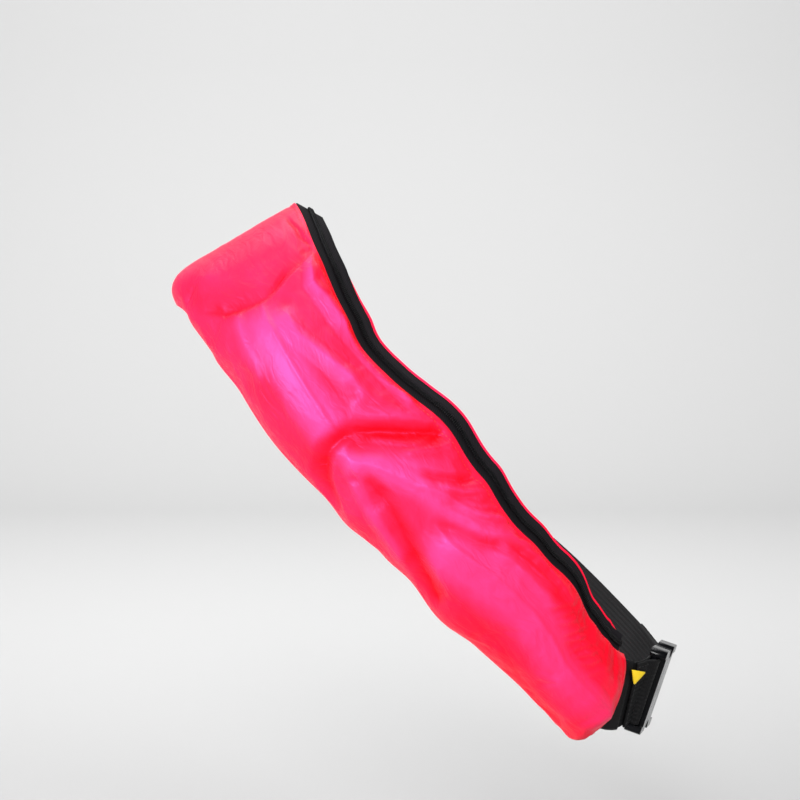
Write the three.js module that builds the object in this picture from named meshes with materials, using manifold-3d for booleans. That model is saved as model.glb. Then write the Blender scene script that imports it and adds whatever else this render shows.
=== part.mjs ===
// An inflatable belt pack, worn as a sash: a long red nylon sleeve that holds a folded bladder,
// closed along its upper edge by a black zip, on a 50 mm webbing belt with one side-release buckle.
// It keeps the form it has on a body: over the right shoulder, down across the chest, round the left
// side to the buckle, and up the back to the shoulder again.
// Millimetres, +Z up. The wearer faces -Y, and +X is the wearer's left. The origin is on the body side
// of the belt, at the crest of the shoulder that carries it.

import * as THREE from "three";
import { mergeVertices } from "three/addons/utils/BufferGeometryUtils.js";
import Module from "manifold-3d";

const wasm = await Module();
wasm.setup();

// Driving sizes

// The loop's reach from the shoulder crest: across to the left side, front to back, and down.
const LOOP_WIDTH = 291;
const LOOP_DEPTH = 244;
const LOOP_DROP = 301;

const POUCH_WIDTH = 104; // the red front at its widest, from its lower edge to the zip
const POUCH_THICKNESS = 34; // the packed pouch at its thickest
const POUCH_BEHIND = 96; // how far the pouch runs down behind the shoulder from the crest
const STRAP_SHOWN = 33.7; // the belt between the pouch's front end and the buckle
const CLOTH = 1; // coated nylon
const RIM_HEIGHT = 15; // height of the front's zip edge above the body side
const LIP = 1.6; // how far the back shows past the zip
const LIP_FADE = 9; // length of belt over which the strip for the zip narrows to each end of the pouch

const ZIP_RUN = 12; // the zip's breadth as seen from the front
const ZIP_TAPE = 0.9;
const TUCK_STEPS = 2; // the points of the front's edge that the tape follows on its inside
const COIL_WIDTH = 4;
const COIL_HEIGHT = 2;

const WEB_WIDTH = 50;
const WEB = 1.8; // thickness of the webbing
const WEB_BEND = 2.4; // how far from a corner the webbing starts to bend
const WEB_TUCK = 16; // length of webbing inside each end of the pouch
const TAIL_LENGTH = 70; // the adjuster's free tail, which lies back along the belt

const SLEEVE = 1; // black nylon sleeve round the webbing at each end of the pouch
const SLEEVE_TUCK = 16;
const SLEEVE_REACH = 9; // how far it runs out past the pouch

const TAB_LENGTH = 18;
const TAB_WIDTH = 13;
const TAB = 1;
const TAB_START = 6; // from the pouch's end to the tab
const TAB_PLACE = 9; // from the belt's line to the tab's nearer corner

const BUCKLE_LENGTH = 80;
const BUCKLE_WIDTH = 63;
const BUCKLE_THICKNESS = 12;
const BUCKLE_CORNER = 4; // radius of its corners
const BUCKLE_RISE = 0.6; // the buckle's underside above the body side of the belt
const BUCKLE_WALL = 2.2; // the female half's plates
const SIDE_WALL = 3.6; // and its sides
const MALE_BODY = 26; // the part of the male half that stays outside
const PRONG_THICKNESS = 5.5;
const PRONG_CORNER = 3;
const TONGUE_WIDTH = 8; // the tongue between the prongs
const JOIN = 3; // how far the prongs and the tongue run back into the male body
const SLOT = 5.4; // breadth of each slot that webbing passes through
const END_BAR = 5;
const MIDDLE_BAR = 3.4;
const THUMB_RADIUS = 14; // the recess on each side of the female half
const THUMB_DEPTH = 7.5;

const GAP = 0.3; // between two pieces that touch on the real belt
const BLADDER_GAP = 0.5;
const SLEEVE_GAP = 0.4; // between the webbing and its sleeve, which bend together
const STEP = 8; // length of belt between two sections of a cloth piece
const CUT = 1; // how far a cutting solid runs past what it cuts

// The belt's route

// A row for each place on the loop, in order down the front and back up behind. across, back and down
// are shares of LOOP_WIDTH, LOOP_DEPTH and LOOP_DROP, and face is the way the belt's outer side looks.
const ROUTE = [
  { at: "crest", across: 0, back: 0, down: 0, face: [-0.5, -0.05, 0.87] },
  { at: "collar bone", across: 0.04, back: -0.14, down: 0.02, face: [-0.4, -0.4, 0.8] },
  { at: "upper chest", across: 0.08, back: -0.26, down: 0.1, face: [-0.28, -0.8, 0.52] },
  { at: "pectoral top", across: 0.15, back: -0.38, down: 0.22, face: [-0.14, -0.95, 0.3] },
  { at: "pectoral", across: 0.255, back: -0.46, down: 0.34, face: [-0.05, -0.99, 0.14] },
  { at: "breastbone", across: 0.375, back: -0.5, down: 0.455, face: [0, -1, 0.04] },
  { at: "lower ribs", across: 0.49, back: -0.51, down: 0.585, face: [0.06, -1, -0.02] },
  { at: "stomach", across: 0.58, back: -0.49, down: 0.685, face: [0.14, -0.98, -0.04] },
  { at: "flank front", across: 0.675, back: -0.45, down: 0.778, face: [0.26, -0.96, -0.06] },
  { at: "flank", across: 0.75, back: -0.405, down: 0.858, face: [0.4, -0.9, -0.08] },
  { at: "flank bend", across: 0.82, back: -0.36, down: 0.93, face: [0.52, -0.84, -0.12] },
  { at: "pouch end", across: 0.908, back: -0.27, down: 0.99, face: [0.7, -0.68, -0.2] },
  { at: "buckle", across: 0.996, back: -0.005, down: 1.008, face: [0.935, -0.16, -0.31] },
  { at: "hip", across: 1.022, back: 0.28, down: 1.03, face: [0.95, 0.1, -0.28] },
  { at: "back flank", across: 0.965, back: 0.42, down: 0.98, face: [0.72, 0.65, -0.22] },
  { at: "lower back", across: 0.79, back: 0.5, down: 0.82, face: [0.34, 0.94, -0.1] },
  { at: "mid back", across: 0.55, back: 0.52, down: 0.62, face: [0.05, 1, 0] },
  { at: "shoulder blade", across: 0.32, back: 0.49, down: 0.4, face: [-0.08, 0.98, 0.1] },
  { at: "blade top", across: 0.15, back: 0.41, down: 0.22, face: [-0.2, 0.9, 0.36] },
  { at: "nape side", across: 0.04, back: 0.22, down: 0.07, face: [-0.4, 0.55, 0.72] },
];

// The buckle is rigid, so the belt runs straight along it: its row becomes points on one line, whose
// direction is given here and whose places are shares of BUCKLE_LENGTH.
const BUCKLE_LINE = new THREE.Vector3(0.17, 1, -0.1).normalize();
const STRAIGHT_SHARES = [-0.54, -0.46, 0.5, 0.6];

// Sections of the pouch from its rear end to its front end. along is a share of the pouch's length. low
// and high say how far the lower edge and the zip edge spread from the belt's line: 0 is just past the
// webbing, and 1 is half of POUCH_WIDTH. fill is 0 where the cloth lies flat on the webbing and 1 at
// POUCH_THICKNESS, rim is a share of RIM_HEIGHT, and box says how square the section's shoulders are.
const POUCH_SECTIONS = [
  { along: 0, low: 0, high: 0, fill: 0, rim: 0.34, box: 20 },
  { along: 0.03, low: 0.1, high: 0.1, fill: 0.02, rim: 0.36, box: 16 },
  { along: 0.086, low: 1, high: 0.75, fill: 0.35, rim: 0.9, box: 6 },
  { along: 0.172, low: 1.12, high: 1.14, fill: 0.52, rim: 1.45, box: 6 },
  { along: 0.258, low: 1.15, high: 0.85, fill: 0.66, rim: 1.15, box: 4 },
  { along: 0.323, low: 0.86, high: 0.9, fill: 0.85, rim: 1.05, box: 2.8 },
  { along: 0.387, low: 0.6, high: 0.77, fill: 1, rim: 1, box: 2.4 },
  { along: 0.459, low: 0.66, high: 0.68, fill: 1, rim: 1, box: 2.4 },
  { along: 0.53, low: 0.62, high: 0.92, fill: 0.95, rim: 1, box: 2.4 },
  { along: 0.58, low: 0.74, high: 0.95, fill: 1, rim: 1, box: 2.4 },
  { along: 0.645, low: 0.5, high: 0.74, fill: 1, rim: 1, box: 2.4 },
  { along: 0.69, low: 0.38, high: 0.66, fill: 1, rim: 1, box: 2.4 },
  { along: 0.745, low: 0.52, high: 0.58, fill: 1, rim: 1, box: 2.4 },
  { along: 0.8, low: 0.36, high: 0.52, fill: 0.97, rim: 0.95, box: 2.4 },
  { along: 0.885, low: 0.28, high: 0.14, fill: 0.86, rim: 0.8, box: 2.6 },
  { along: 0.925, low: 0.3, high: 0.04, fill: 0.74, rim: 0.7, box: 3 },
  { along: 0.955, low: 0.42, high: 0, fill: 0.6, rim: 0.6, box: 3.6 },
  { along: 0.977, low: 0.54, high: 0, fill: 0.45, rim: 0.5, box: 5 },
  { along: 0.987, low: 0.3, high: 0, fill: 0.3, rim: 0.42, box: 8 },
  { along: 1, low: 0, high: 0, fill: 0, rim: 0.34, box: 20 },
];

// The front end is sewn round and a little aslant, from this share of the pouch on: its two sides stay
// END_ROUND behind its middle, and its lower side reaches farther along the belt by a share of its
// distance from the belt's line.
const END_FROM = 0.88;
const END_ROUND = 9;
const END_SLANT = 0.1;

// Folds of the cover. along and over give the two ends of a fold's line: along is a share of the pouch's
// length, and over a share of the front from the zip edge, 0, to the lower edge, 1. depth is a share of
// POUCH_THICKNESS, negative where the cloth stands proud, and breadth a share of POUCH_WIDTH.
const FOLDS = [
  { at: "shoulder crease", along: [0.255, 0.2], over: [0, 1], depth: 0.13, breadth: 0.07 },
  { at: "shoulder ridge, low", along: [0.27, 0.42], over: [0.72, 0.66], depth: -0.08, breadth: 0.07 },
  { at: "shoulder ridge, mid", along: [0.26, 0.5], over: [0.45, 0.5], depth: -0.1, breadth: 0.07 },
  { at: "shoulder ridge, high", along: [0.3, 0.44], over: [0.26, 0.28], depth: -0.08, breadth: 0.06 },
  { at: "knee, upper", along: [0.545, 0.485], over: [0, 0.42], depth: 0.22, breadth: 0.07 },
  { at: "knee, lower", along: [0.5, 0.56], over: [0.46, 1], depth: 0.17, breadth: 0.08 },
  { at: "lower ridge, long", along: [0.54, 0.95], over: [0.42, 0.36], depth: -0.12, breadth: 0.09 },
  { at: "lower ridge, short", along: [0.53, 0.68], over: [0.62, 0.74], depth: -0.09, breadth: 0.07 },
  { at: "rim wedge", along: [0.6, 0.57], over: [0, 0.3], depth: 0.12, breadth: 0.05 },
  { at: "long valley", along: [0.62, 0.74], over: [0.3, 0.14], depth: 0.13, breadth: 0.06 },
];

// Gathers where the front is sewn to the zip: a sum of waves. share is a share of GATHER_DEPTH, turns
// says how many there are in one GATHER_PITCH, and start is in radians.
const GATHER_PITCH = 52;
const GATHER_DEPTH = 0.9;
const GATHER_WAVES = [
  { share: 1, turns: 1, start: 0 },
  { share: 0.7, turns: 0.43, start: 1 },
];
const GATHER_FADE = 6; // how fast they die away from the zip over the front

// The outline of the buckle's prong on one side. along is a share of the female half's cavity, from its
// mouth, and out a share of half the buckle's width. The tongue's length is a share of the cavity too.
const PRONG_OUTLINE = [
  { at: "root, inner side", along: -0.09, out: 0.38 },
  { at: "arm, inner side", along: 0.5, out: 0.48 },
  { at: "tip", along: 0.94, out: 0.59 },
  { at: "catch", along: 0.72, out: 0.9 },
  { at: "pad", along: 0.56, out: 0.97 },
  { at: "foot of the pad", along: 0.38, out: 0.71 },
  { at: "root, outer side", along: -0.09, out: 0.63 },
];
const TONGUE_REACH = 0.87;

// The corners of the pull tab, as shares of TAB_LENGTH and TAB_WIDTH.
const TAB_CORNERS = [
  { at: "by the zip", along: 0, over: 1 },
  { at: "by the belt's line", along: 0.4, over: 0 },
  { at: "by the buckle", along: 1, over: 0.65 },
];

// Curves along the belt

function spot(row) {
  return new THREE.Vector3(row.across * LOOP_WIDTH, row.back * LOOP_DEPTH, -row.down * LOOP_DROP);
}

const routePoints = [];
const routeFaces = [];
for (const row of ROUTE) {
  for (const share of row.at === "buckle" ? STRAIGHT_SHARES : [0]) {
    routePoints.push(spot(row).addScaledVector(BUCKLE_LINE, share * BUCKLE_LENGTH));
    routeFaces.push(new THREE.Vector3(...row.face));
  }
}
const route = new THREE.CatmullRomCurve3(routePoints, true, "centripetal");
route.arcLengthDivisions = 1200;
const routeFace = new THREE.CatmullRomCurve3(routeFaces, true, "centripetal");
const BELT_LENGTH = route.getLength();

// The belt's own directions at the distance s from the crest: along it, across it towards the zip, out.
function frameAt(s) {
  const t = route.getUtoTmapping(THREE.MathUtils.euclideanModulo(s / BELT_LENGTH, 1));
  const along = route.getTangent(t).normalize();
  const across = routeFace.getPoint(t).cross(along).normalize();
  const out = along.clone().cross(across);
  return { origin: route.getPoint(t), along, across, out };
}

// A point of the belt: s along it, w across it and n out from its body side.
function place(s, w, n) {
  const f = frameAt(s);
  return f.origin.addScaledVector(f.across, w).addScaledVector(f.out, n);
}

// Where the buckle's middle lies along the belt.
function buckleDistance() {
  const middle = spot(ROUTE.find((row) => row.at === "buckle"));
  let nearest = 0;
  for (let s = 0; s < BELT_LENGTH; s += BELT_LENGTH / 4000) {
    if (frameAt(s).origin.distanceTo(middle) < frameAt(nearest).origin.distanceTo(middle)) nearest = s;
  }
  return nearest;
}
const BUCKLE_AT = buckleDistance();

// Flat shapes, as points (x, y)

const flat = (x, y) => new THREE.Vector2(x, y);

const SHARPEST = 0.6; // limits how far a sharp corner is drawn out

// A line moved sideways by distance, to the left of its direction.
function beside(line, distance) {
  return line.map((p, i) => {
    const before = line[Math.max(i - 1, 0)];
    const after = line[Math.min(i + 1, line.length - 1)];
    const from = (i > 0 ? p.clone().sub(before) : after.clone().sub(p)).normalize();
    const to = (i < line.length - 1 ? after.clone().sub(p) : from.clone()).normalize();
    const way = from.clone().add(to).normalize();
    const reach = distance / Math.max(way.dot(to), SHARPEST);
    return flat(p.x - way.y * reach, p.y + way.x * reach);
  });
}

// The outline of a strip of cloth whose middle is the line.
function strip(line, thickness) {
  return [...beside(line, thickness / 2), ...beside(line, -thickness / 2).reverse()];
}

// A line whose corners are rounded.
function rounded(corners, radius, steps = 4) {
  const line = [corners[0]];
  for (let i = 1; i < corners.length - 1; i++) {
    const [a, b, c] = [corners[i - 1], corners[i], corners[i + 1]];
    const cut = Math.min(radius, a.distanceTo(b) * 0.48, b.distanceTo(c) * 0.48);
    const start = b.clone().add(a.clone().sub(b).setLength(cut));
    const end = b.clone().add(c.clone().sub(b).setLength(cut));
    line.push(...new THREE.QuadraticBezierCurve(start, b, end).getPoints(steps));
  }
  line.push(corners[corners.length - 1]);
  return line;
}

// Solids

// A closed surface through rings of equal count, its two ends filled like the flat shape ends[0] and
// ends[1] of the first and the last ring.
function skin(rings, ends) {
  const count = rings[0].length;
  const index = [];
  for (let i = 0; i < rings.length - 1; i++) {
    for (let j = 0; j < count; j++) {
      const next = (j + 1) % count;
      const [a, b] = [i * count + j, i * count + next];
      const [c, d] = [a + count, b + count];
      index.push(a, b, d, a, d, c);
    }
  }
  const far = (rings.length - 1) * count;
  const clockwise = THREE.ShapeUtils.isClockWise(ends[0]);
  const filling = (end) => {
    const triangles = THREE.ShapeUtils.triangulateShape(end, []);
    return clockwise ? triangles.map((triangle) => triangle.reverse()) : triangles;
  };
  for (const [a, b, c] of filling(ends[0])) index.push(c, b, a);
  for (const [a, b, c] of filling(ends[1])) index.push(far + a, far + b, far + c);
  const geometry = new THREE.BufferGeometry().setFromPoints(rings.flat());
  geometry.setIndex(index);
  return facingOut(geometry);
}

// Six times the volume inside a closed surface, negative if its faces point in.
function signedVolume(geometry) {
  const position = geometry.attributes.position;
  const index = geometry.index.array;
  const corner = (i) => new THREE.Vector3().fromBufferAttribute(position, index[i]);
  let sum = 0;
  for (let i = 0; i < index.length; i += 3) sum += corner(i).dot(corner(i + 1).cross(corner(i + 2)));
  return sum;
}

function facingOut(geometry) {
  const index = geometry.index.array;
  if (signedVolume(geometry) > 0) return geometry;
  for (let i = 0; i < index.length; i += 3) [index[i + 1], index[i + 2]] = [index[i + 2], index[i + 1]];
  return geometry;
}

function solidOf(geometry) {
  const bare = geometry.clone();
  bare.deleteAttribute("normal");
  bare.deleteAttribute("uv");
  const merged = mergeVertices(bare, 1e-4);
  const vertProperties = new Float32Array(merged.attributes.position.array);
  const triVerts = new Uint32Array(merged.index.array);
  return new wasm.Manifold(new wasm.Mesh({ numProp: 3, vertProperties, triVerts }));
}

function geometryOf(solid) {
  const mesh = solid.getMesh();
  const geometry = new THREE.BufferGeometry();
  geometry.setAttribute("position", new THREE.BufferAttribute(mesh.vertProperties, 3));
  geometry.setIndex(new THREE.BufferAttribute(mesh.triVerts, 1));
  return geometry;
}

// Distances from one to another, evenly stepped.
function stations(from, to, step = STEP) {
  const steps = Math.max(2, Math.round((to - from) / step));
  return Array.from({ length: steps + 1 }, (_, i) => from + ((to - from) * i) / steps);
}

// Runs a section in (w, n) along the belt through the distances given. put places each of its points.
function sweep(distances, sectionAt, put) {
  const sections = distances.map(sectionAt);
  const rings = sections.map((section, i) => section.map((p) => put(distances[i], p.x, p.y)));
  return skin(rings, [sections[0], sections[sections.length - 1]]);
}

// The line with more points, none farther than step from the next.
function divided(line, step) {
  const parts = line.slice(1).map((p, i) => {
    const count = Math.max(1, Math.ceil(p.distanceTo(line[i]) / step));
    return Array.from({ length: count }, (_, k) => line[i].clone().lerp(p, k / count));
  });
  return [...parts.flat(), line[line.length - 1]];
}

// A ribbon of webbing whose side view is a line in (s, n), as broad as the webbing.
function ribbon(corners, step) {
  const line = divided(rounded(corners, WEB_BEND), step);
  const [top, base] = [beside(line, WEB / 2), beside(line, -WEB / 2)];
  const half = WEB_WIDTH / 2;
  const rings = line.map((_, i) => [
    place(top[i].x, half, top[i].y),
    place(top[i].x, -half, top[i].y),
    place(base[i].x, -half, base[i].y),
    place(base[i].x, half, base[i].y),
  ]);
  const end = [flat(half, WEB), flat(-half, WEB), flat(-half, 0), flat(half, 0)];
  return skin(rings, [end, end]);
}

// The pouch

const POUCH_START = -POUCH_BEHIND;
const POUCH_END = BUCKLE_AT - BUCKLE_LENGTH / 2 - STRAP_SHOWN;
const POUCH_LENGTH = POUCH_END - POUCH_START;
const SLEEVE_BASE = CLOTH + GAP; // the sleeve's body side
const WEB_BASE = SLEEVE_BASE + SLEEVE + SLEEVE_GAP; // the webbing's body side inside the pouch
const POUCH_LAYER = WEB_BASE + WEB / 2; // and its middle
const SLEEVE_TOP = WEB_BASE + WEB + SLEEVE_GAP + SLEEVE;
const END_THICKNESS = SLEEVE_TOP + GAP + CLOTH;
const SLEEVE_HALF = WEB_WIDTH / 2 + SLEEVE_GAP + SLEEVE;
const END_HALF = SLEEVE_HALF + 2 * GAP + 2 * CLOTH;

const shareAt = (s) => (s - POUCH_START) / POUCH_LENGTH;

// A smooth value of the table's column at a share of the pouch's length.
function column(key, share) {
  let i = 0;
  while (i < POUCH_SECTIONS.length - 2 && share > POUCH_SECTIONS[i + 1].along) i++;
  const [a, b] = [POUCH_SECTIONS[i], POUCH_SECTIONS[i + 1]];
  return THREE.MathUtils.lerp(a[key], b[key], THREE.MathUtils.smoothstep(share, a.along, b.along));
}

function pouchSize(s) {
  const share = shareAt(s);
  return {
    low: THREE.MathUtils.lerp(END_HALF, POUCH_WIDTH / 2, column("low", share)),
    high: THREE.MathUtils.lerp(END_HALF, POUCH_WIDTH / 2, column("high", share)),
    thick: THREE.MathUtils.lerp(END_THICKNESS, POUCH_THICKNESS, column("fill", share)),
    rim: column("rim", share) * RIM_HEIGHT,
    box: column("box", share),
    fill: column("fill", share),
  };
}

// How far the cloth is pushed in at a place on the front by the folds near it.
function foldDepth(s, over, size) {
  const width = size.low + size.high;
  const here = flat(s, over * width);
  let depth = 0;
  for (const fold of FOLDS) {
    const [a, b] = [0, 1].map((end) => {
      return flat(POUCH_START + fold.along[end] * POUCH_LENGTH, fold.over[end] * width);
    });
    const way = b.clone().sub(a);
    const t = THREE.MathUtils.clamp(here.clone().sub(a).dot(way) / way.lengthSq(), 0, 1);
    const away = here.distanceTo(a.addScaledVector(way, t)) / (fold.breadth * POUCH_WIDTH);
    depth += fold.depth * POUCH_THICKNESS * Math.exp(-away * away);
  }
  return depth;
}

// The gathers move the zip edge up and down along its length.
function gather(s, size) {
  const turn = (2 * Math.PI * s) / GATHER_PITCH;
  const waves = GATHER_WAVES.map((wave) => wave.share * Math.sin(turn * wave.turns + wave.start));
  return GATHER_DEPTH * size.fill * waves.reduce((sum, wave) => sum + wave, 0);
}

const zipEdge = (s) => pouchSize(s).high + gather(s, pouchSize(s));

function lipEdge(s) {
  const fromEnd = Math.min(s - POUCH_START, POUCH_END - s);
  return pouchSize(s).high + (ZIP_RUN + LIP) * THREE.MathUtils.smoothstep(fromEnd, 0, LIP_FADE);
}

const FRONT_STEPS = 14;
const BACK_STEPS = 3;

// The outside of the cover at s: from the zip edge over the front and round the lower edge, then along
// the body side to the lip that shows past the zip.
function coverLine(s) {
  const size = pouchSize(s);
  const line = [];
  for (let i = 0; i <= FRONT_STEPS; i++) {
    const over = (1 - Math.cos((Math.PI * i) / FRONT_STEPS)) / 2;
    const arch = Math.sqrt(Math.max(1 - Math.abs(2 * over - 1) ** size.box, 0));
    const edge = THREE.MathUtils.lerp(size.rim, CLOTH, over);
    const rise = (size.thick - edge) * arch - foldDepth(s, over, size) * arch * size.fill;
    const w = size.high - over * (size.low + size.high) + gather(s, size) * (1 - over) ** GATHER_FADE;
    line.push(flat(w, edge + rise));
  }
  for (let i = 0; i <= BACK_STEPS; i++) {
    line.push(flat(THREE.MathUtils.lerp(-size.low + CLOTH, lipEdge(s), i / BACK_STEPS), 0));
  }
  return line;
}

function coverSection(s) {
  const outside = coverLine(s);
  return [...outside, ...beside(outside, CLOTH).reverse()];
}

// A point of the pouch, whose front end is round.
function inPouch(s, w, n) {
  const late = THREE.MathUtils.smoothstep(shareAt(s), END_FROM, 1);
  const side = Math.min(Math.abs(w) / END_HALF, 1);
  return place(s - late * (END_SLANT * w + END_ROUND * side * side), w, n);
}

const POUCH_STATIONS = stations(POUCH_START, POUCH_END);

// The pouch's stations that lie clear of its rear and its front end by these lengths.
function inside(rear, front) {
  return POUCH_STATIONS.filter((s) => s > POUCH_START + rear && s < POUCH_END - front);
}

const ZIP_BACK = END_SLANT * END_HALF + END_ROUND; // how far the front end stays behind at the zip

const cover = () => sweep(POUCH_STATIONS, coverSection, inPouch);

// The folded bladder fills the cover from the lower edge to just behind the zip. Its outline runs the
// same way round as the cover's inner face, so that the two are cut into triangles alike.
const BLADDER_FROM = 4; // the first point of the front that it follows

function bladderSection(s) {
  const front = beside(coverLine(s), CLOTH + BLADDER_GAP).slice(BLADDER_FROM, FRONT_STEPS);
  const base = CLOTH + BLADDER_GAP;
  return [...front, flat(front[front.length - 1].x + base, base), flat(front[0].x, base)].reverse();
}

const BLADDER_TUCK = WEB_TUCK + BLADDER_GAP;

const bladder = () => sweep(inside(BLADDER_TUCK, BLADDER_TUCK), bladderSection, inPouch);

// The zip

// The middle of the zip's band at s: from under the front's edge, out past it and down to the back.
function zipLine(s) {
  const outside = coverLine(s);
  const under = beside(outside, CLOTH + GAP + ZIP_TAPE / 2);
  const heading = outside[0].clone().sub(outside[1]).normalize();
  return {
    tuck: under.slice(0, TUCK_STEPS + 1).reverse(),
    turn: under[0].clone().addScaledVector(heading, ZIP_TAPE),
    landing: flat(zipEdge(s) + ZIP_RUN, CLOTH + GAP + ZIP_TAPE / 2),
  };
}

// A point on the slope of the band, a distance past its middle.
function pastMiddle({ turn, landing }, distance) {
  const run = landing.clone().sub(turn);
  return turn.clone().addScaledVector(run, 0.5 + distance / run.length());
}

function frontTapeSection(s) {
  const line = zipLine(s);
  return strip([...line.tuck, line.turn, pastMiddle(line, -GAP / 2)], ZIP_TAPE);
}

function backTapeSection(s) {
  const line = zipLine(s);
  return strip([pastMiddle(line, GAP / 2), line.landing], ZIP_TAPE);
}

// The coil lies on the tapes' outer side, over the line where they meet.
function coilSection(s) {
  const line = zipLine(s);
  const ends = [pastMiddle(line, -COIL_WIDTH / 2), pastMiddle(line, COIL_WIDTH / 2)];
  return strip(beside(ends, ZIP_TAPE / 2 + GAP + COIL_HEIGHT / 2), COIL_HEIGHT);
}

const zipPiece = (section) => sweep(inside(SLEEVE_TUCK, SLEEVE_TUCK - ZIP_BACK), section, inPouch);

// The ends of the pouch

// The outline of a flat sleeve round the webbing, its edges cut off, and of the hollow through it.
function sleeveSection() {
  const ring = (half, height, cut) => {
    const quarter = [flat(half, height - cut), flat(half - cut, height)];
    const upper = [...quarter, ...quarter.map((p) => flat(-p.x, p.y)).reverse()];
    return [...upper, ...upper.map((p) => flat(-p.x, -p.y))].map((p) => flat(p.x, p.y + POUCH_LAYER));
  };
  const [half, height] = [WEB_WIDTH / 2 + SLEEVE_GAP, WEB / 2 + SLEEVE_GAP];
  return {
    outside: ring(half + SLEEVE, height + SLEEVE, SLEEVE),
    hollow: ring(half, height, SLEEVE_GAP / 2),
  };
}

const FRONT_SLEEVE = [POUCH_END - SLEEVE_TUCK, POUCH_END + SLEEVE_REACH];
const REAR_SLEEVE = [POUCH_START - SLEEVE_REACH, POUCH_START + SLEEVE_TUCK];

function sleeve([from, to]) {
  const { outside, hollow } = sleeveSection();
  const along = stations(from, to, STEP / 3);
  const past = [from - STEP / 3, ...along, to + STEP / 3];
  const body = solidOf(sweep(along, () => outside, place));
  return geometryOf(body.subtract(solidOf(sweep(past, () => hollow, place))));
}

// The webbing

// Heights of the middle of the webbing on the body side, in a second layer, and in the second layer
// where the first comes out of the pouch.
const LAYER_1 = WEB / 2;
const LAYER_2 = LAYER_1 + WEB + GAP;
const DOUBLED_LAYER = POUCH_LAYER + WEB + GAP;

// Places along the buckle, from its middle: the male half's bar at the near end, and the female half's
// two bars at the far end, with a slot beside each.
const NEAR = -BUCKLE_LENGTH / 2;
const FAR = BUCKLE_LENGTH / 2;
const NEAR_BAR = { from: NEAR, to: NEAR + END_BAR, base: WEB + GAP, top: WEB + GAP + END_BAR };
const FAR_BAR_BASE = LAYER_2 + WEB / 2 + GAP;
const FAR_BAR = { from: FAR - END_BAR, to: FAR, base: FAR_BAR_BASE, top: FAR_BAR_BASE + END_BAR };
const GRIP_BAR_TO = FAR_BAR.from - SLOT;
const GRIP_BAR = {
  from: GRIP_BAR_TO - MIDDLE_BAR,
  to: GRIP_BAR_TO,
  base: WEB + GAP,
  top: WEB + GAP + MIDDLE_BAR,
};
const BESIDE_BAR = GAP + WEB / 2; // the middle of the webbing from a bar that it passes

// From the pouch's front end under the near bar, round it, and back along itself.
function webbingShort() {
  const rise = POUCH_END + SLEEVE_REACH + WEB_BEND;
  const fall = BUCKLE_AT + NEAR - GAP;
  const turn = BUCKLE_AT + NEAR_BAR.to + BESIDE_BAR;
  const over = NEAR_BAR.top + BESIDE_BAR;
  const line = [
    flat(POUCH_END - WEB_TUCK, POUCH_LAYER),
    flat(rise, POUCH_LAYER),
    flat(fall - WEB, LAYER_1),
    flat(turn, LAYER_1),
    flat(turn, over),
    flat(fall - WEB, over),
    flat(fall - 3 * WEB, LAYER_2),
    flat(rise + 2 * WEB, DOUBLED_LAYER),
  ];
  return ribbon(line, STEP / 3);
}

// From the tail's end under the far bar, over the grip bar, and round the back to the pouch's rear end.
function webbingLong() {
  const up = BUCKLE_AT + GRIP_BAR.to + BESIDE_BAR;
  const down = BUCKLE_AT + GRIP_BAR.from - BESIDE_BAR;
  const over = GRIP_BAR.top + BESIDE_BAR;
  const rear = BELT_LENGTH + POUCH_START;
  const line = [
    flat(BUCKLE_AT + FAR + TAIL_LENGTH, LAYER_2),
    flat(up, LAYER_2),
    flat(up, over),
    flat(down, over),
    flat(down, LAYER_1),
    flat(rear - SLEEVE_REACH - WEB_TUCK, LAYER_1),
    flat(rear - SLEEVE_REACH - WEB_BEND, POUCH_LAYER),
    flat(rear + WEB_TUCK, POUCH_LAYER),
  ];
  return ribbon(line, STEP);
}

// The buckle, in its own directions: x along the belt from its middle, y across, z out from the body side

const BUCKLE_BASE = BUCKLE_RISE;
const BUCKLE_TOP = BUCKLE_RISE + BUCKLE_THICKNESS;
const BUCKLE_MIDDLE = (BUCKLE_BASE + BUCKLE_TOP) / 2;
const CHEEK_INSIDE = WEB_WIDTH / 2 + 3 * GAP;
const MOUTH = NEAR + MALE_BODY + GAP; // where the female half begins
const CAVITY_END = GRIP_BAR.from - SLOT - BUCKLE_WALL;
const CAVITY_LENGTH = CAVITY_END - MOUTH;
const BAR_EDGE = 0.28; // how much is cut off a bar's edges, as a share of its thickness
const CORNER_STEPS = 4;
const THUMB_STEPS = 16;

function box([x0, x1], [y0, y1], [z0, z1]) {
  const geometry = new THREE.BoxGeometry(x1 - x0, y1 - y0, z1 - z0);
  return solidOf(geometry.translate((x0 + x1) / 2, (y0 + y1) / 2, (z0 + z1) / 2));
}

// A plate with the given outline in x and y, between two heights.
function plate(outline, z0, z1) {
  const shape = new THREE.Shape(outline);
  const geometry = new THREE.ExtrudeGeometry(shape, { depth: z1 - z0, bevelEnabled: false });
  return solidOf(geometry.translate(0, 0, z0));
}

// A rectangle with rounded corners, from x0 to x1 and as far as half to each side.
function rectangle([x0, x1], half, corner) {
  const centres = [
    flat(x1 - corner, half - corner),
    flat(x0 + corner, half - corner),
    flat(x0 + corner, corner - half),
    flat(x1 - corner, corner - half),
  ];
  const arc = (centre, quarter) => {
    return Array.from({ length: CORNER_STEPS + 1 }, (_, i) => {
      const turn = ((quarter + i / CORNER_STEPS) * Math.PI) / 2;
      return flat(centre.x + corner * Math.cos(turn), centre.y + corner * Math.sin(turn));
    });
  };
  return centres.flatMap(arc);
}

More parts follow.
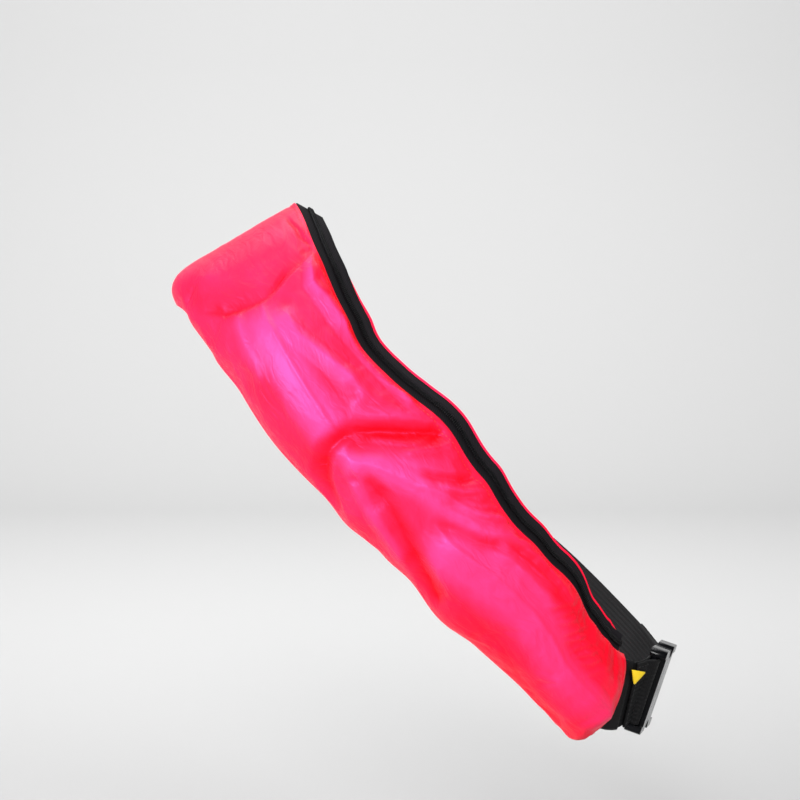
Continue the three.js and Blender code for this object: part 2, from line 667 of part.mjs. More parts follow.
// A bar across the buckle with its edges cut off, so that webbing bends round it.
function bar({ from, to, base, top }) {
  const cut = Math.min(to - from, top - base) * BAR_EDGE;
  const side = [
    [from + cut, base],
    [to - cut, base],
    [to, base + cut],
    [to, top - cut],
    [to - cut, top],
    [from + cut, top],
    [from, top - cut],
    [from, base + cut],
  ].map(([x, z]) => flat(x, z));
  const reach = CHEEK_INSIDE + BUCKLE_WALL;
  const rings = [-reach, reach].map((y) => side.map((p) => new THREE.Vector3(p.x, y, p.y)));
  return solidOf(skin(rings, [side, side]));
}

const TALL = [BUCKLE_BASE - CUT, BUCKLE_TOP + CUT];

function buckleFemale() {
  const cavity = [BUCKLE_BASE + BUCKLE_WALL, BUCKLE_TOP - BUCKLE_WALL];
  const hollow = BUCKLE_WIDTH / 2 - SIDE_WALL;
  const middle = MOUTH + CAVITY_LENGTH / 2;
  const thumb = new THREE.Path().absarc(middle, 0, THUMB_RADIUS, 0, 2 * Math.PI).getPoints(THUMB_STEPS);
  let body = plate(rectangle([MOUTH, FAR], BUCKLE_WIDTH / 2, BUCKLE_CORNER), BUCKLE_BASE, BUCKLE_TOP);
  body = body.subtract(box([MOUTH - CUT, CAVITY_END], [-hollow, hollow], cavity));
  body = body.subtract(box([GRIP_BAR.from - SLOT, FAR + CUT], [-CHEEK_INSIDE, CHEEK_INSIDE], TALL));
  for (const side of [-1, 1]) {
    const centre = side * (BUCKLE_WIDTH / 2 + THUMB_RADIUS - THUMB_DEPTH);
    const recess = thumb.slice(0, -1).map((p) => flat(p.x, p.y + centre));
    body = body.subtract(plate(recess, ...TALL));
  }
  return body.add(bar(GRIP_BAR)).add(bar(FAR_BAR));
}

// The outline of the prong on one side, 1 or -1: an arm that springs out to a pad in the thumb recess.
function prong(side) {
  const corners = PRONG_OUTLINE.map((row) => {
    return flat(MOUTH + row.along * CAVITY_LENGTH, (row.out * side * BUCKLE_WIDTH) / 2);
  });
  return rounded(corners, PRONG_CORNER, 2);
}

function buckleMale() {
  const inner = [BUCKLE_MIDDLE - PRONG_THICKNESS / 2, BUCKLE_MIDDLE + PRONG_THICKNESS / 2];
  const outline = rectangle([NEAR, NEAR + MALE_BODY], BUCKLE_WIDTH / 2, BUCKLE_CORNER);
  const tongue = [MOUTH - JOIN, MOUTH + TONGUE_REACH * CAVITY_LENGTH];
  let body = plate(outline, BUCKLE_BASE, BUCKLE_TOP);
  body = body.subtract(box([NEAR - CUT, NEAR_BAR.to + SLOT], [-CHEEK_INSIDE, CHEEK_INSIDE], TALL));
  body = body.add(bar(NEAR_BAR)).add(box(tongue, [-TONGUE_WIDTH / 2, TONGUE_WIDTH / 2], inner));
  for (const side of [-1, 1]) body = body.add(plate(prong(side), ...inner));
  return body;
}

// Sets a solid on the belt at s, its x along the belt, y across it and z out from the body side.
function onBelt(solid, s) {
  const f = frameAt(s);
  const matrix = new THREE.Matrix4().makeBasis(f.along, f.across, f.out).setPosition(f.origin);
  return geometryOf(solid).applyMatrix4(matrix);
}

// A stiff three-cornered tab that lies flat on the doubled end of the webbing.
function pullTab() {
  const base = DOUBLED_LAYER + WEB / 2 + GAP;
  const corners = TAB_CORNERS.map((corner) => {
    return flat((corner.along - 0.5) * TAB_LENGTH, TAB_PLACE + corner.over * TAB_WIDTH);
  });
  return onBelt(plate(corners, base, base + TAB), POUCH_END + TAB_START + TAB_LENGTH / 2);
}

// The assembly

const RED_NYLON = { color: 0xff2d64, roughness: 0.5, metalness: 0 };
const COATED_CLOTH = { color: 0xe0a030, roughness: 0.55, metalness: 0 };
const ZIP_CLOTH = { color: 0x1c1c1e, roughness: 0.85, metalness: 0 };
const ZIP_COIL = { color: 0x3a3a3d, roughness: 0.5, metalness: 0 };
const BLACK_NYLON = { color: 0x141416, roughness: 0.7, metalness: 0 };
const BLACK_PLASTIC = { color: 0x0e0e10, roughness: 0.25, metalness: 0 };
const YELLOW_WEB = { color: 0xf8e02a, roughness: 0.6, metalness: 0 };

const PIECES = [
  { name: "cover", geometry: cover(), material: RED_NYLON },
  { name: "bladder", geometry: bladder(), material: COATED_CLOTH },
  { name: "zip_tape_front", geometry: zipPiece(frontTapeSection), material: ZIP_CLOTH },
  { name: "zip_tape_back", geometry: zipPiece(backTapeSection), material: ZIP_CLOTH },
  { name: "zip_coil", geometry: zipPiece(coilSection), material: ZIP_COIL },
  { name: "end_front", geometry: sleeve(FRONT_SLEEVE), material: BLACK_NYLON },
  { name: "end_rear", geometry: sleeve(REAR_SLEEVE), material: BLACK_NYLON },
  { name: "webbing_short", geometry: webbingShort(), material: BLACK_NYLON },
  { name: "webbing_long", geometry: webbingLong(), material: BLACK_NYLON },
  { name: "buckle_male", geometry: onBelt(buckleMale(), BUCKLE_AT), material: BLACK_PLASTIC },
  { name: "buckle_female", geometry: onBelt(buckleFemale(), BUCKLE_AT), material: BLACK_PLASTIC },
  { name: "pull_tab", geometry: pullTab(), material: YELLOW_WEB },
];

const group = new THREE.Group();
for (const { name, geometry, material } of PIECES) {
  const mesh = new THREE.Mesh(geometry, new THREE.MeshStandardMaterial(material));
  mesh.name = name;
  group.add(mesh);
}
export default group;
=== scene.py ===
# %% [markdown]
# An inflatable belt pack, worn as a sash
#
# The pack is a long padded pouch of thin red nylon. It holds a folded bladder, and it is closed along
# its upper edge by a black zip. A black 50 mm webbing belt leaves both of its ends and is joined by a
# side-release buckle. This lesson dresses the plain solids of the part: the pouch gets its folds, the
# zip its coil, the webbing its ribs, and everything its own cloth or plastic.

# %% Load the frame
import math

import bpy
import numpy as np
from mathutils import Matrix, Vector, noise


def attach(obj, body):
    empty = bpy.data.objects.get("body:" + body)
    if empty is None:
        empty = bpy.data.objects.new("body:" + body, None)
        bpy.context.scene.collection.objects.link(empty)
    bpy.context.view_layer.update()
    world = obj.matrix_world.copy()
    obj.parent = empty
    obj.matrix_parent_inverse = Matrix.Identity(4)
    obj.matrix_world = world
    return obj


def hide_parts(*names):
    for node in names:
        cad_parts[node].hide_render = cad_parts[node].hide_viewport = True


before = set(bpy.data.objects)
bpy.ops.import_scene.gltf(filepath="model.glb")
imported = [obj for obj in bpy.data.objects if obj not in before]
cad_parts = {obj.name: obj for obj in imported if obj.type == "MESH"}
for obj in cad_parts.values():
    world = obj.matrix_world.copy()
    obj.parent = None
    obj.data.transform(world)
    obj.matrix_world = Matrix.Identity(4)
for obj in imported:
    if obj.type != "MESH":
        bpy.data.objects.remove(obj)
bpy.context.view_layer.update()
scene = bpy.context.scene
MM = 0.001
print("solids:", sorted(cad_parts))

# %% [markdown]
# The belt's line
#
# Everything soft follows one closed line round the body, so the line comes first. It could be a Bezier
# curve with an empty at each knot, but the pieces need its length and its three directions at any
# place, so it is a table of knots and a Catmull-Rom spline, worked out once at closely spaced places.
# Distances along it are in millimetres from the crest of the shoulder, positive down the front.

# %% The belt's line
LOOP_SIZE = np.array([291.0, 244.0, -301.0])  # across to the left, back, and down
KNOTS = [  # shares of LOOP_SIZE, and the way that the outer side looks
    ("crest", (0, 0, 0), (-0.5, -0.05, 0.87)),
    ("collar bone", (0.04, -0.14, 0.02), (-0.4, -0.4, 0.8)),
    ("upper chest", (0.08, -0.26, 0.1), (-0.28, -0.8, 0.52)),
    ("pectoral top", (0.15, -0.38, 0.22), (-0.14, -0.95, 0.3)),
    ("pectoral", (0.255, -0.46, 0.34), (-0.05, -0.99, 0.14)),
    ("breastbone", (0.375, -0.5, 0.455), (0, -1, 0.04)),
    ("lower ribs", (0.49, -0.51, 0.585), (0.06, -1, -0.02)),
    ("stomach", (0.58, -0.49, 0.685), (0.14, -0.98, -0.04)),
    ("flank front", (0.675, -0.45, 0.778), (0.26, -0.96, -0.06)),
    ("flank", (0.75, -0.405, 0.858), (0.4, -0.9, -0.08)),
    ("flank bend", (0.82, -0.36, 0.93), (0.52, -0.84, -0.12)),
    ("pouch end", (0.908, -0.27, 0.99), (0.7, -0.68, -0.2)),
    ("buckle", (0.996, -0.005, 1.008), (0.935, -0.16, -0.31)),
    ("hip", (1.022, 0.28, 1.03), (0.95, 0.1, -0.28)),
    ("back flank", (0.965, 0.42, 0.98), (0.72, 0.65, -0.22)),
    ("lower back", (0.79, 0.5, 0.82), (0.34, 0.94, -0.1)),
    ("mid back", (0.55, 0.52, 0.62), (0.05, 1, 0)),
    ("shoulder blade", (0.32, 0.49, 0.4), (-0.08, 0.98, 0.1)),
    ("blade top", (0.15, 0.41, 0.22), (-0.2, 0.9, 0.36)),
    ("nape side", (0.04, 0.22, 0.07), (-0.4, 0.55, 0.72)),
]
BUCKLE_LENGTH = 80.0
BUCKLE_LINE = np.array([0.17, 1.0, -0.1]) / np.linalg.norm([0.17, 1.0, -0.1])
BUCKLE_KNOTS = (-0.54, -0.46, 0.5, 0.6)  # in buckle lengths; they keep the line straight through it
TINY = 1e-4

places, faces = [], []
for knot, share, face in KNOTS:
    for along in BUCKLE_KNOTS if knot == "buckle" else (0,):
        places.append(np.array(share) * LOOP_SIZE + along * BUCKLE_LENGTH * BUCKLE_LINE)
        faces.append(face)


def closed_spline(knots):
    """A Catmull-Rom spline round all the knots, as a function of 0 to 1."""
    p = np.array(knots, float)
    step = np.linalg.norm(np.roll(p, -1, 0) - p, axis=1) ** 0.5

    def at(t):
        x = (np.asarray(t, float) % 1.0) * len(p)
        i = np.floor(x).astype(int) % len(p)
        k = (x - np.floor(x))[:, None]
        p0, p1, p2, p3 = p[i - 1], p[i], p[(i + 1) % len(p)], p[(i + 2) % len(p)]
        d0, d1, d2 = (step[j % len(p)][:, None] for j in (i - 1, i, i + 1))
        d1 = np.where(d1 < TINY, 1.0, d1)
        d0, d2 = np.where(d0 < TINY, d1, d0), np.where(d2 < TINY, d1, d2)
        a = ((p1 - p0) / d0 - (p2 - p0) / (d0 + d1) + (p2 - p1) / d1) * d1
        b = ((p2 - p1) / d1 - (p3 - p1) / (d1 + d2) + (p3 - p2) / d2) * d1
        return p1 + a * k + (3 * (p2 - p1) - 2 * a - b) * k**2 + (2 * (p1 - p2) + a + b) * k**3

    return at


line_at, face_at = closed_spline(places), closed_spline(faces)
knot_t = np.linspace(0, 1, 1201)
knot_s = np.concatenate([[0], np.cumsum(np.linalg.norm(np.diff(line_at(knot_t), axis=0), axis=1))])
BELT_LENGTH = knot_s[-1]
FINE = 8000
fine_t = np.interp(np.linspace(0, BELT_LENGTH, FINE + 1), knot_s, knot_t)


def unit(v):
    return v / np.linalg.norm(v, axis=-1, keepdims=True)


LINE = line_at(fine_t)
ALONG = unit(line_at(fine_t + TINY) - line_at(fine_t - TINY))
ACROSS = unit(np.cross(face_at(fine_t), ALONG))
OUT = np.cross(ALONG, ACROSS)


def frames(s):
    """The line's place and its three directions at the distances s."""
    x = (np.asarray(s, float) % BELT_LENGTH) / BELT_LENGTH * FINE
    i = np.minimum(x.astype(int), FINE - 1)
    k = (x - i)[..., None]
    return [table[i] * (1 - k) + table[i + 1] * k for table in (LINE, ALONG, ACROSS, OUT)]


def on_belt(s, w, n):
    """Places s along the belt, w across it and n off its body side."""
    line, _, across, out = frames(s)
    return line + across * np.asarray(w)[..., None] + out * np.asarray(n)[..., None]


TRIES = 4000
tries = np.arange(TRIES) * BELT_LENGTH / TRIES
middle = next(np.array(share) for knot, share, _ in KNOTS if knot == "buckle") * LOOP_SIZE
BUCKLE_AT = tries[np.argmin(np.linalg.norm(frames(tries)[0] - middle, axis=1))]
print(f"belt {BELT_LENGTH:.0f} mm round, buckle at {BUCKLE_AT:.0f} mm")

# %% [markdown]
# Mesh helpers
#
# Cloth that is lofted from one section to the next is a grid of points, so one helper turns a grid
# into a closed skin with its ends filled. It also writes a UV map in millimetres of cloth, so that a
# weave keeps its scale however the piece bends.


# %% Mesh helpers
def linked(name, mesh):
    """An object of the mesh, smooth-shaded, in the scene."""
    mesh.polygons.foreach_set("use_smooth", [True] * len(mesh.polygons))
    piece = bpy.data.objects.new(name, mesh)
    scene.collection.objects.link(piece)
    return piece


def new_piece(name, points, faces, uv=None):
    mesh = bpy.data.meshes.new(name)
    mesh.from_pydata((np.asarray(points) * MM).tolist(), [], faces)
    if uv is not None:
        layer = mesh.uv_layers.new(name="cloth")
        corner = np.zeros(len(mesh.loops), int)
        mesh.loops.foreach_get("vertex_index", corner)
        layer.data.foreach_set("uv", np.asarray(uv)[corner].ravel())
    return linked(name, mesh)


def tube_faces(rows, columns, ring):
    """Quads from row to row, with the two ends filled or, in a ring, joined."""
    i, j = np.meshgrid(np.arange(rows if ring else rows - 1), np.arange(columns), indexing="ij")
    here, below, right = i * columns, (i + 1) % rows * columns, (j + 1) % columns
    quads = np.stack([here + j, here + right, below + right, below + j], -1).reshape(-1, 4).tolist()
    if ring:
        return quads
    return quads + [list(range(columns))[::-1], [(rows - 1) * columns + k for k in range(columns)]]


def face_out(piece):
    """Turns a closed piece's faces outwards, by the sign of the volume they enclose."""
    mesh = piece.data
    mesh.calc_loop_triangles()
    v = np.array([x.co[:] for x in mesh.vertices])
    t = np.array([x.vertices[:] for x in mesh.loop_triangles])
    if np.einsum("ij,ij->i", v[t[:, 0]], np.cross(v[t[:, 1]], v[t[:, 2]])).sum() < 0:
        mesh.flip_normals()
    return piece


def loft(name, grid, uv=None, ring=False):
    flat_uv = None if uv is None else uv.reshape(-1, 2)
    return face_out(new_piece(name, grid.reshape(-1, 3), tube_faces(*grid.shape[:2], ring), flat_uv))


def lengths(points):
    """Distance along each row of points, starting from 0."""
    step = np.linalg.norm(np.diff(points, axis=-2), axis=-1)
    return np.concatenate([np.zeros(step.shape[:-1] + (1,)), np.cumsum(step, -1)], -1)


def finished(piece, slot, *nodes):
    if nodes:
        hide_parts(*nodes)
    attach(piece, "root")
    print(f"{piece.name}: {sum(len(p.vertices) - 2 for p in piece.data.polygons)} triangles")


# %% [markdown]
# The camera
#
# The pack is looked at from the front and a little from above, from far enough away to look flat. The
# camera comes before the pouch, because its folds are laid out on its front view, as one would chalk
# them on the cloth.

# %% The camera
AIM = np.array([113.1, -80.0, -87.2])
VIEW_DISTANCE, VIEW_WIDTH, TILT = 2400.0, 560.0, 6  # the tilt in degrees
VIEW_UNITS = 800  # the front view is so many of its own units wide
tilt = math.radians(TILT)
SIGHT = np.array([0, math.cos(tilt), -math.sin(tilt)])
UPWARD = np.array([0, math.sin(tilt), math.cos(tilt)])

camera = bpy.data.objects.new("camera", bpy.data.cameras.new("camera"))
camera.data.lens = camera.data.sensor_width * VIEW_DISTANCE / VIEW_WIDTH
camera.data.clip_end = 20
camera.location = Vector((AIM - SIGHT * VIEW_DISTANCE) * MM)
camera.rotation_euler = (math.radians(90 - TILT), 0, 0)
scene.collection.objects.link(camera)
scene.camera = camera


def front_view(points):
    """Places in the front view, measured to the right and down from its corner."""
    away = points - (AIM - SIGHT * VIEW_DISTANCE)
    scale = VIEW_UNITS / VIEW_WIDTH * VIEW_DISTANCE / (away @ SIGHT)
    return np.stack([away[..., 0] * scale, -(away @ UPWARD) * scale], -1) + VIEW_UNITS / 2


# %% [markdown]
# The pouch's plain shape
#
# Under its folds the pouch is a soft tube: flat on the body side, full in the middle of its length,
# and pressed flat at both ends where it is sewn to the belt. A table gives its edges and its
# thickness at a number of places, and every other section is blended between two of them.

# %% The pouch's plain shape
STRAP_SHOWN = 33.7
POUCH_START, POUCH_END = -96.0, BUCKLE_AT - BUCKLE_LENGTH / 2 - STRAP_SHOWN
POUCH_LENGTH = POUCH_END - POUCH_START
HALF_WIDTH, THICKNESS, RIM_HEIGHT, CLOTH = 52.0, 34.0, 15.0, 1.0
ZIP_RUN, ZIP_TAPE = 12.0, 0.9
LIP, LIP_HIDDEN, LIP_FADE = 1.8, 0.8, 9.0  # how far the back shows past the zip, or stays short of it
STRIP_TUCK = [(2.4, 4.4), (1.6, 1.7)]  # how far the strip under the zip stays off the front's edge
WEB_WIDTH, WEB, SLEEVE, GAP, SLEEVE_GAP = 50.0, 1.8, 1.0, 0.3, 0.4
WEB_BASE = CLOTH + GAP + SLEEVE + SLEEVE_GAP
POUCH_LAYER = WEB_BASE + WEB / 2
SLEEVE_TOP = WEB_BASE + WEB + SLEEVE_GAP + SLEEVE
END_THICKNESS = SLEEVE_TOP + GAP + CLOTH
END_HALF = WEB_WIDTH / 2 + SLEEVE_GAP + SLEEVE + 2 * GAP + 2 * CLOTH
SECTIONS = np.array([  # share of the length, low edge, zip edge, fill, rim, squareness
    (0, 0, 0, 0, 0.34, 20),
    (0.03, 0.1, 0.1, 0.02, 0.36, 16),
    (0.086, 1, 0.75, 0.35, 0.9, 6),
    (0.172, 1.12, 1.14, 0.52, 1.45, 6),
    (0.258, 1.15, 0.85, 0.66, 1.15, 4),
    (0.323, 0.86, 0.9, 0.85, 1.05, 2.8),
    (0.387, 0.6, 0.77, 1, 1, 2.4),
    (0.459, 0.66, 0.68, 1, 1, 2.4),
    (0.53, 0.62, 0.92, 0.95, 1, 2.4),
    (0.58, 0.74, 0.95, 1, 1, 2.4),
    (0.645, 0.5, 0.74, 1, 1, 2.4),
    (0.69, 0.38, 0.66, 1, 1, 2.4),
    (0.745, 0.52, 0.58, 1, 1, 2.4),
    (0.8, 0.36, 0.52, 0.97, 0.95, 2.4),
    (0.885, 0.28, 0.14, 0.86, 0.8, 2.6),
    (0.925, 0.3, 0.04, 0.74, 0.7, 3),
    (0.955, 0.42, 0, 0.6, 0.6, 3.6),
    (0.977, 0.54, 0, 0.45, 0.5, 5),
    (0.987, 0.3, 0, 0.3, 0.42, 8),
    (1, 0, 0, 0, 0.34, 20),
])
END_SLANT, END_ROUND, END_FROM = 0.1, 9.0, 0.88
GATHER_PITCH, GATHER_DEPTH = 52.0, 0.9


def crowded(steps):
    """Shares from 0 to 1 that lie closer together at both ends."""
    return (1 - np.cos(np.linspace(0, math.pi, steps + 1)))[None, :] / 2


def smoothstep(x, a, b):
    t = np.clip((x - a) / (b - a), 0, 1)
    return t * t * (3 - 2 * t)


def pouch_size(s):
    """Lower edge, zip edge, thickness, rim height, squareness and fill at the distances s."""
    share = (np.asarray(s, float) - POUCH_START) / POUCH_LENGTH
    i = np.clip(np.searchsorted(SECTIONS[:, 0], share, side="left") - 1, 0, len(SECTIONS) - 2)
    a, b = SECTIONS[i], SECTIONS[i + 1]
    k = smoothstep(share, a[..., 0], b[..., 0])[..., None]
    _, low, high, fill, rim, box = np.moveaxis(a + (b - a) * k, -1, 0)
    low, high = (END_HALF + (HALF_WIDTH - END_HALF) * spread for spread in (low, high))
    thick = END_THICKNESS + (THICKNESS - END_THICKNESS) * fill
    return low, high, thick, rim * RIM_HEIGHT, box, fill


def gather(s, fill):
    turn = 2 * math.pi * s / GATHER_PITCH
    return GATHER_DEPTH * fill * (np.sin(turn) + 0.7 * np.sin(0.43 * turn + 1))


def front_line(s, over):
    """The front of the pouch in (w, n), from the zip edge, over = 0, to the lower edge, over = 1."""
    low, high, thick, rim, box, fill = pouch_size(s)
    arch = np.sqrt(np.maximum(1 - np.abs(2 * over - 1) ** box, 0))
    edge = rim + (CLOTH - rim) * over
    w = high - over * (low + high) + gather(s, fill) * (1 - over) ** 6
    return w, edge + (thick - edge) * arch


def in_pouch(s, w, n):
    """Like on_belt, with sections that slant and round off near the front end."""
    late = smoothstep((s - POUCH_START) / POUCH_LENGTH, END_FROM, 1)
    return on_belt(s - late * (END_SLANT * w + END_ROUND * np.minimum(np.abs(w) / END_HALF, 1) ** 2), w, n)


# %% [markdown]
# The inflated front
#
# Cloth that is filled from behind swells between its seams and puckers along them. That could be
# sculpted, but the Cloth simulation does it for us: a coarse copy of the pouch, held at the zip, the
# body side and both ends, is blown up a little with slightly more cloth than it needs. Only the
# movement of its points is kept, and it is added to the fine pouch later.


# %% Grid of the pouch
def pouch_grid(rows, front_steps, back_steps):
    """Points round the pouch: the front, the body side, and the strip under the zip."""
    s = np.linspace(POUCH_START, POUCH_END, rows)[:, None]
    w, n = front_line(s, crowded(front_steps))
    low, high, _, rim, _, fill = pouch_size(s)
    share = np.linspace(0, 1, back_steps + 1)[None, :]
    under = gather(s, fill)
    show = (LIP + LIP_HIDDEN) * smoothstep(s, 50, 120) * smoothstep(POUCH_END - s, 8, 30) - LIP_HIDDEN
    inward = smoothstep(np.minimum(s - POUCH_START, POUCH_END - s), 0, LIP_FADE)
    lip = high + (ZIP_RUN + show + under) * inward
    back_w = (CLOTH - low) * (1 - share) + lip * share
    landing = np.minimum(high + ZIP_RUN + 1 + under, lip - 0.2)
    (w1, n1), (w2, n2) = STRIP_TUCK
    strip_w = np.concatenate([lip, landing, high - w1 + under, high - w2 + under], 1)
    strip_n = np.concatenate([0 * s + CLOTH, 0 * s + CLOTH, rim - n1, rim - n2], 1)
    w = np.concatenate([w, back_w, strip_w], 1)
    n = np.concatenate([n, 0 * back_w, np.maximum(strip_n, 0.6)], 1)
    return s, w, n


COARSE_ROWS, COARSE_FRONT, COARSE_BACK = 141, 30, 6
FRAMES = 20
SWELL_LIMIT = 1.6  # mm that the simulation may move a point
CLOTH_SETTINGS = {
    "quality": 6, "mass": 0.2, "tension_stiffness": 12, "compression_stiffness": 12, "shear_stiffness": 5,
    "bending_stiffness": 1, "use_pressure": True, "uniform_pressure_force": 2.5, "shrink_min": -0.01,
    "vertex_group_mass": "held",
}


def swollen():
    """How far each point of the coarse front moves when the pouch is blown up."""
    s, w, n = pouch_grid(COARSE_ROWS, COARSE_FRONT, COARSE_BACK)
    rest = in_pouch(np.broadcast_to(s, w.shape), w, n)
    pad = loft("swelling", rest)
    held = pad.vertex_groups.new(name="held")
    row, column = np.divmod(np.arange(w.size), w.shape[1])
    fixed = (column < 2) | (column >= COARSE_FRONT) | (row < 3) | (row > COARSE_ROWS - 4)
    held.add(np.nonzero(fixed)[0].tolist(), 1.0, "REPLACE")
    cloth = pad.modifiers.new("swell", "CLOTH")
    for title, value in CLOTH_SETTINGS.items():
        setattr(cloth.settings, title, value)
    cloth.settings.effector_weights.gravity = 0
    cloth.collision_settings.use_collision = False
    for f in range(1, FRAMES + 1):
        scene.frame_set(f)
    moved = pad.evaluated_get(bpy.context.evaluated_depsgraph_get()).to_mesh()
    after = np.empty(len(moved.vertices) * 3)
    moved.vertices.foreach_get("co", after)
    offset = (after.reshape(rest.shape) / MM - rest)[:, : COARSE_FRONT + 1]
    size = np.linalg.norm(offset, axis=-1, keepdims=True)
    bpy.data.objects.remove(pad)
    scene.frame_set(1)
    print(f"swelling: {size.mean():.1f} mm on average, {size.max():.1f} mm at most")
    return offset * np.minimum(1, SWELL_LIMIT / np.maximum(size, 1e-6))


swell = swollen()

# %% [markdown]
# Folds
#
# Thin nylon over a soft filling breaks into long sharp ridges and flat faces, and folds over on itself
# where the pouch bends over the chest. Noise alone looks like crumpled foil, so each main fold is laid
# on the front view: a line of points, how high it stands, and how far its two sides reach. A ridge
# stands out, and a valley has a negative height. Small gathers along the zip follow a rule.

# %% Table of folds
# The columns are: height in mm, softness (0 is a crease between two flat faces, 1 a round swell),
# reach to the one side and to the other in the view's units, and the points of the line. The first
# side is the one to the right hand of someone who walks the line, as it is seen on the view. The many
# small crinkles at the zip's lower end differ in their height and place alone.
ZIP_SIDE_LINE = [(312, 252), (314, 284), (332, 309), (346, 328), (372, 357), (398, 384), (418, 404)]
UPPER_RIDGE_LINE = [(262, 302), (268, 321), (288, 356), (313, 398), (338, 436)]
LONG_RIDGE_LINE = [
    (434, 524), (448, 540), (461, 552), (482, 567), (503, 585), (529, 609), (547, 634), (560, 660),
    (576, 681), (596, 702), (611, 722),
]
END_CRINKLES = [
    (1.2, (541, 606), (555, 605), (571, 601)),
    (0.9, (546, 617), (560, 613), (579, 609)),
    (1.3, (550, 620), (564, 621), (578, 617)),
    (1.0, (555, 633), (569, 630), (587, 626)),
    (1.3, (559, 638), (573, 638), (588, 634)),
    (0.9, (564, 650), (578, 646), (597, 642)),
    (1.2, (569, 655), (583, 654), (599, 650)),
    (1.0, (573, 660), (587, 662), (600, 658)),
    (0.9, (578, 673), (592, 671), (609, 667)),
]
FOLDS = [
    # the shoulder's step and sag, and the pinches beside the zip
    (-2.2, 0.3, 14, 5, [
        (319, 246), (308, 253), (290, 270), (267, 296), (256, 302), (240, 309), (222, 314), (204, 311),
    ]),
    (-1.8, 1, 30, 22, [(262, 290), (240, 302), (222, 307), (200, 303), (180, 292)]),
    (-2.4, 0.3, 3.2, 3.2, [(287, 218), (297, 228), (303, 234)]),
    (-2.4, 0.3, 3.2, 3.2, [(296, 232), (306, 240), (316, 247)]),
    (-1.8, 0.3, 3, 3, [(302, 252), (311, 247)]),
    (-2.2, 0.3, 4, 3, [(287, 268), (279, 278), (269, 292)]),
    (-1.5, 0.3, 3, 3, [(283, 281), (274, 291)]),
    # the upper face, with its ridges and streak
    (5.5, 0.03, 34, 24, UPPER_RIDGE_LINE),
    (0.9, 0.1, 4, 4, UPPER_RIDGE_LINE),
    (2.0, 0.2, 11, 9, [(238, 313), (244, 338), (254, 362), (262, 385)]),
    (4.0, 0.05, 15, 10, [(288, 308), (291, 320), (299, 334), (326, 356), (358, 384)]),
    (2.2, 0.2, 7, 10, [(358, 384), (362, 394), (354, 408)]),
    # the side by the zip, upper part
    (6.0, 0.03, 12, 26, ZIP_SIDE_LINE),
    # the bend over the chest: a wedge, its lip and the deep fold
    (-6.5, 0.05, 30, 10, [(345, 420), (351, 428), (368, 430), (398, 430), (436, 430), (450, 431)]),
    (1.6, 0.3, 7, 12, [(352, 413), (372, 416), (402, 415), (436, 415)]),
    (-4.5, 0.15, 16, 9, [
        (349, 430), (339, 440), (329, 449), (325, 463), (325, 479), (331, 502), (339, 520),
    ]),
    # the faces to the left of the bend, and the swell in its middle
    (3.6, 0.03, 14, 12, [(340, 438), (352, 463), (364, 488), (375, 510), (390, 532), (410, 560)]),
    (-2.6, 0.1, 7, 8, [(352, 471), (368, 497), (388, 526), (414, 562)]),
    (-4.4, 0.05, 10, 16, [(362, 474), (386, 505), (404, 536), (425, 578), (437, 606)]),
    (2.6, 1, 34, 34, [(352, 450), (400, 468), (452, 496)]),
    # small ridges that fan out from the bend
    (1.8, 0.2, 5, 4, [(372, 438), (399, 442), (424, 444)]),
    (2.0, 0.2, 5, 5, [(404, 453), (430, 449), (454, 443)]),
    (4.0, 0.03, 18, 14, [(350, 458), (386, 471), (425, 489), (446, 510), (482, 526), (516, 537)]),
    (2.4, 0.15, 6, 6, [(420, 483), (446, 496), (468, 509), (504, 520)]),
    (1.8, 0.2, 5, 4, [(440, 486), (464, 492), (486, 490)]),
    (-3.2, 0.05, 7, 7, [(422, 473), (434, 478), (456, 480), (480, 478)]),
    # crinkles by the zip
    (1.4, 0.3, 3.5, 3.5, [(462, 500), (480, 506), (503, 508)]),
    (1.3, 0.3, 3.5, 3.5, [(470, 514), (490, 519), (512, 519)]),
    (1.9, 0.2, 5, 5, [(486, 531), (510, 540), (532, 546)]),
    # the long lower face and the ridges at its side
    (-4.2, 0.05, 22, 8, [(437, 519), (448, 526), (461, 532), (482, 542), (502, 547)]),
    (9.0, 0.02, 44, 34, LONG_RIDGE_LINE),
    (0.9, 0.1, 4, 4, LONG_RIDGE_LINE),
    (1.8, 0.15, 7, 7, [(470, 526), (496, 540), (530, 566), (556, 590)]),
    (2.6, 0.15, 8, 8, [(488, 548), (508, 560), (532, 582), (552, 606)]),
    (2.4, 0.15, 7, 7, [(512, 540), (536, 556), (560, 584), (574, 604)]),
    # the lower end, and a hollow far on the left
    (-2.2, 0.1, 20, 12, [(560, 634), (583, 664), (604, 690), (620, 712)]),
    *((height, 0.3, 3.2, 3.2, line) for height, *line in END_CRINKLES),
    (-1.6, 1, 22, 22, [(246, 366), (272, 410), (298, 444), (320, 472)]),
]


OVERRUN, RUN_OUT = 6, 10  # how far a fold runs past its line's end, and from how far before it fades


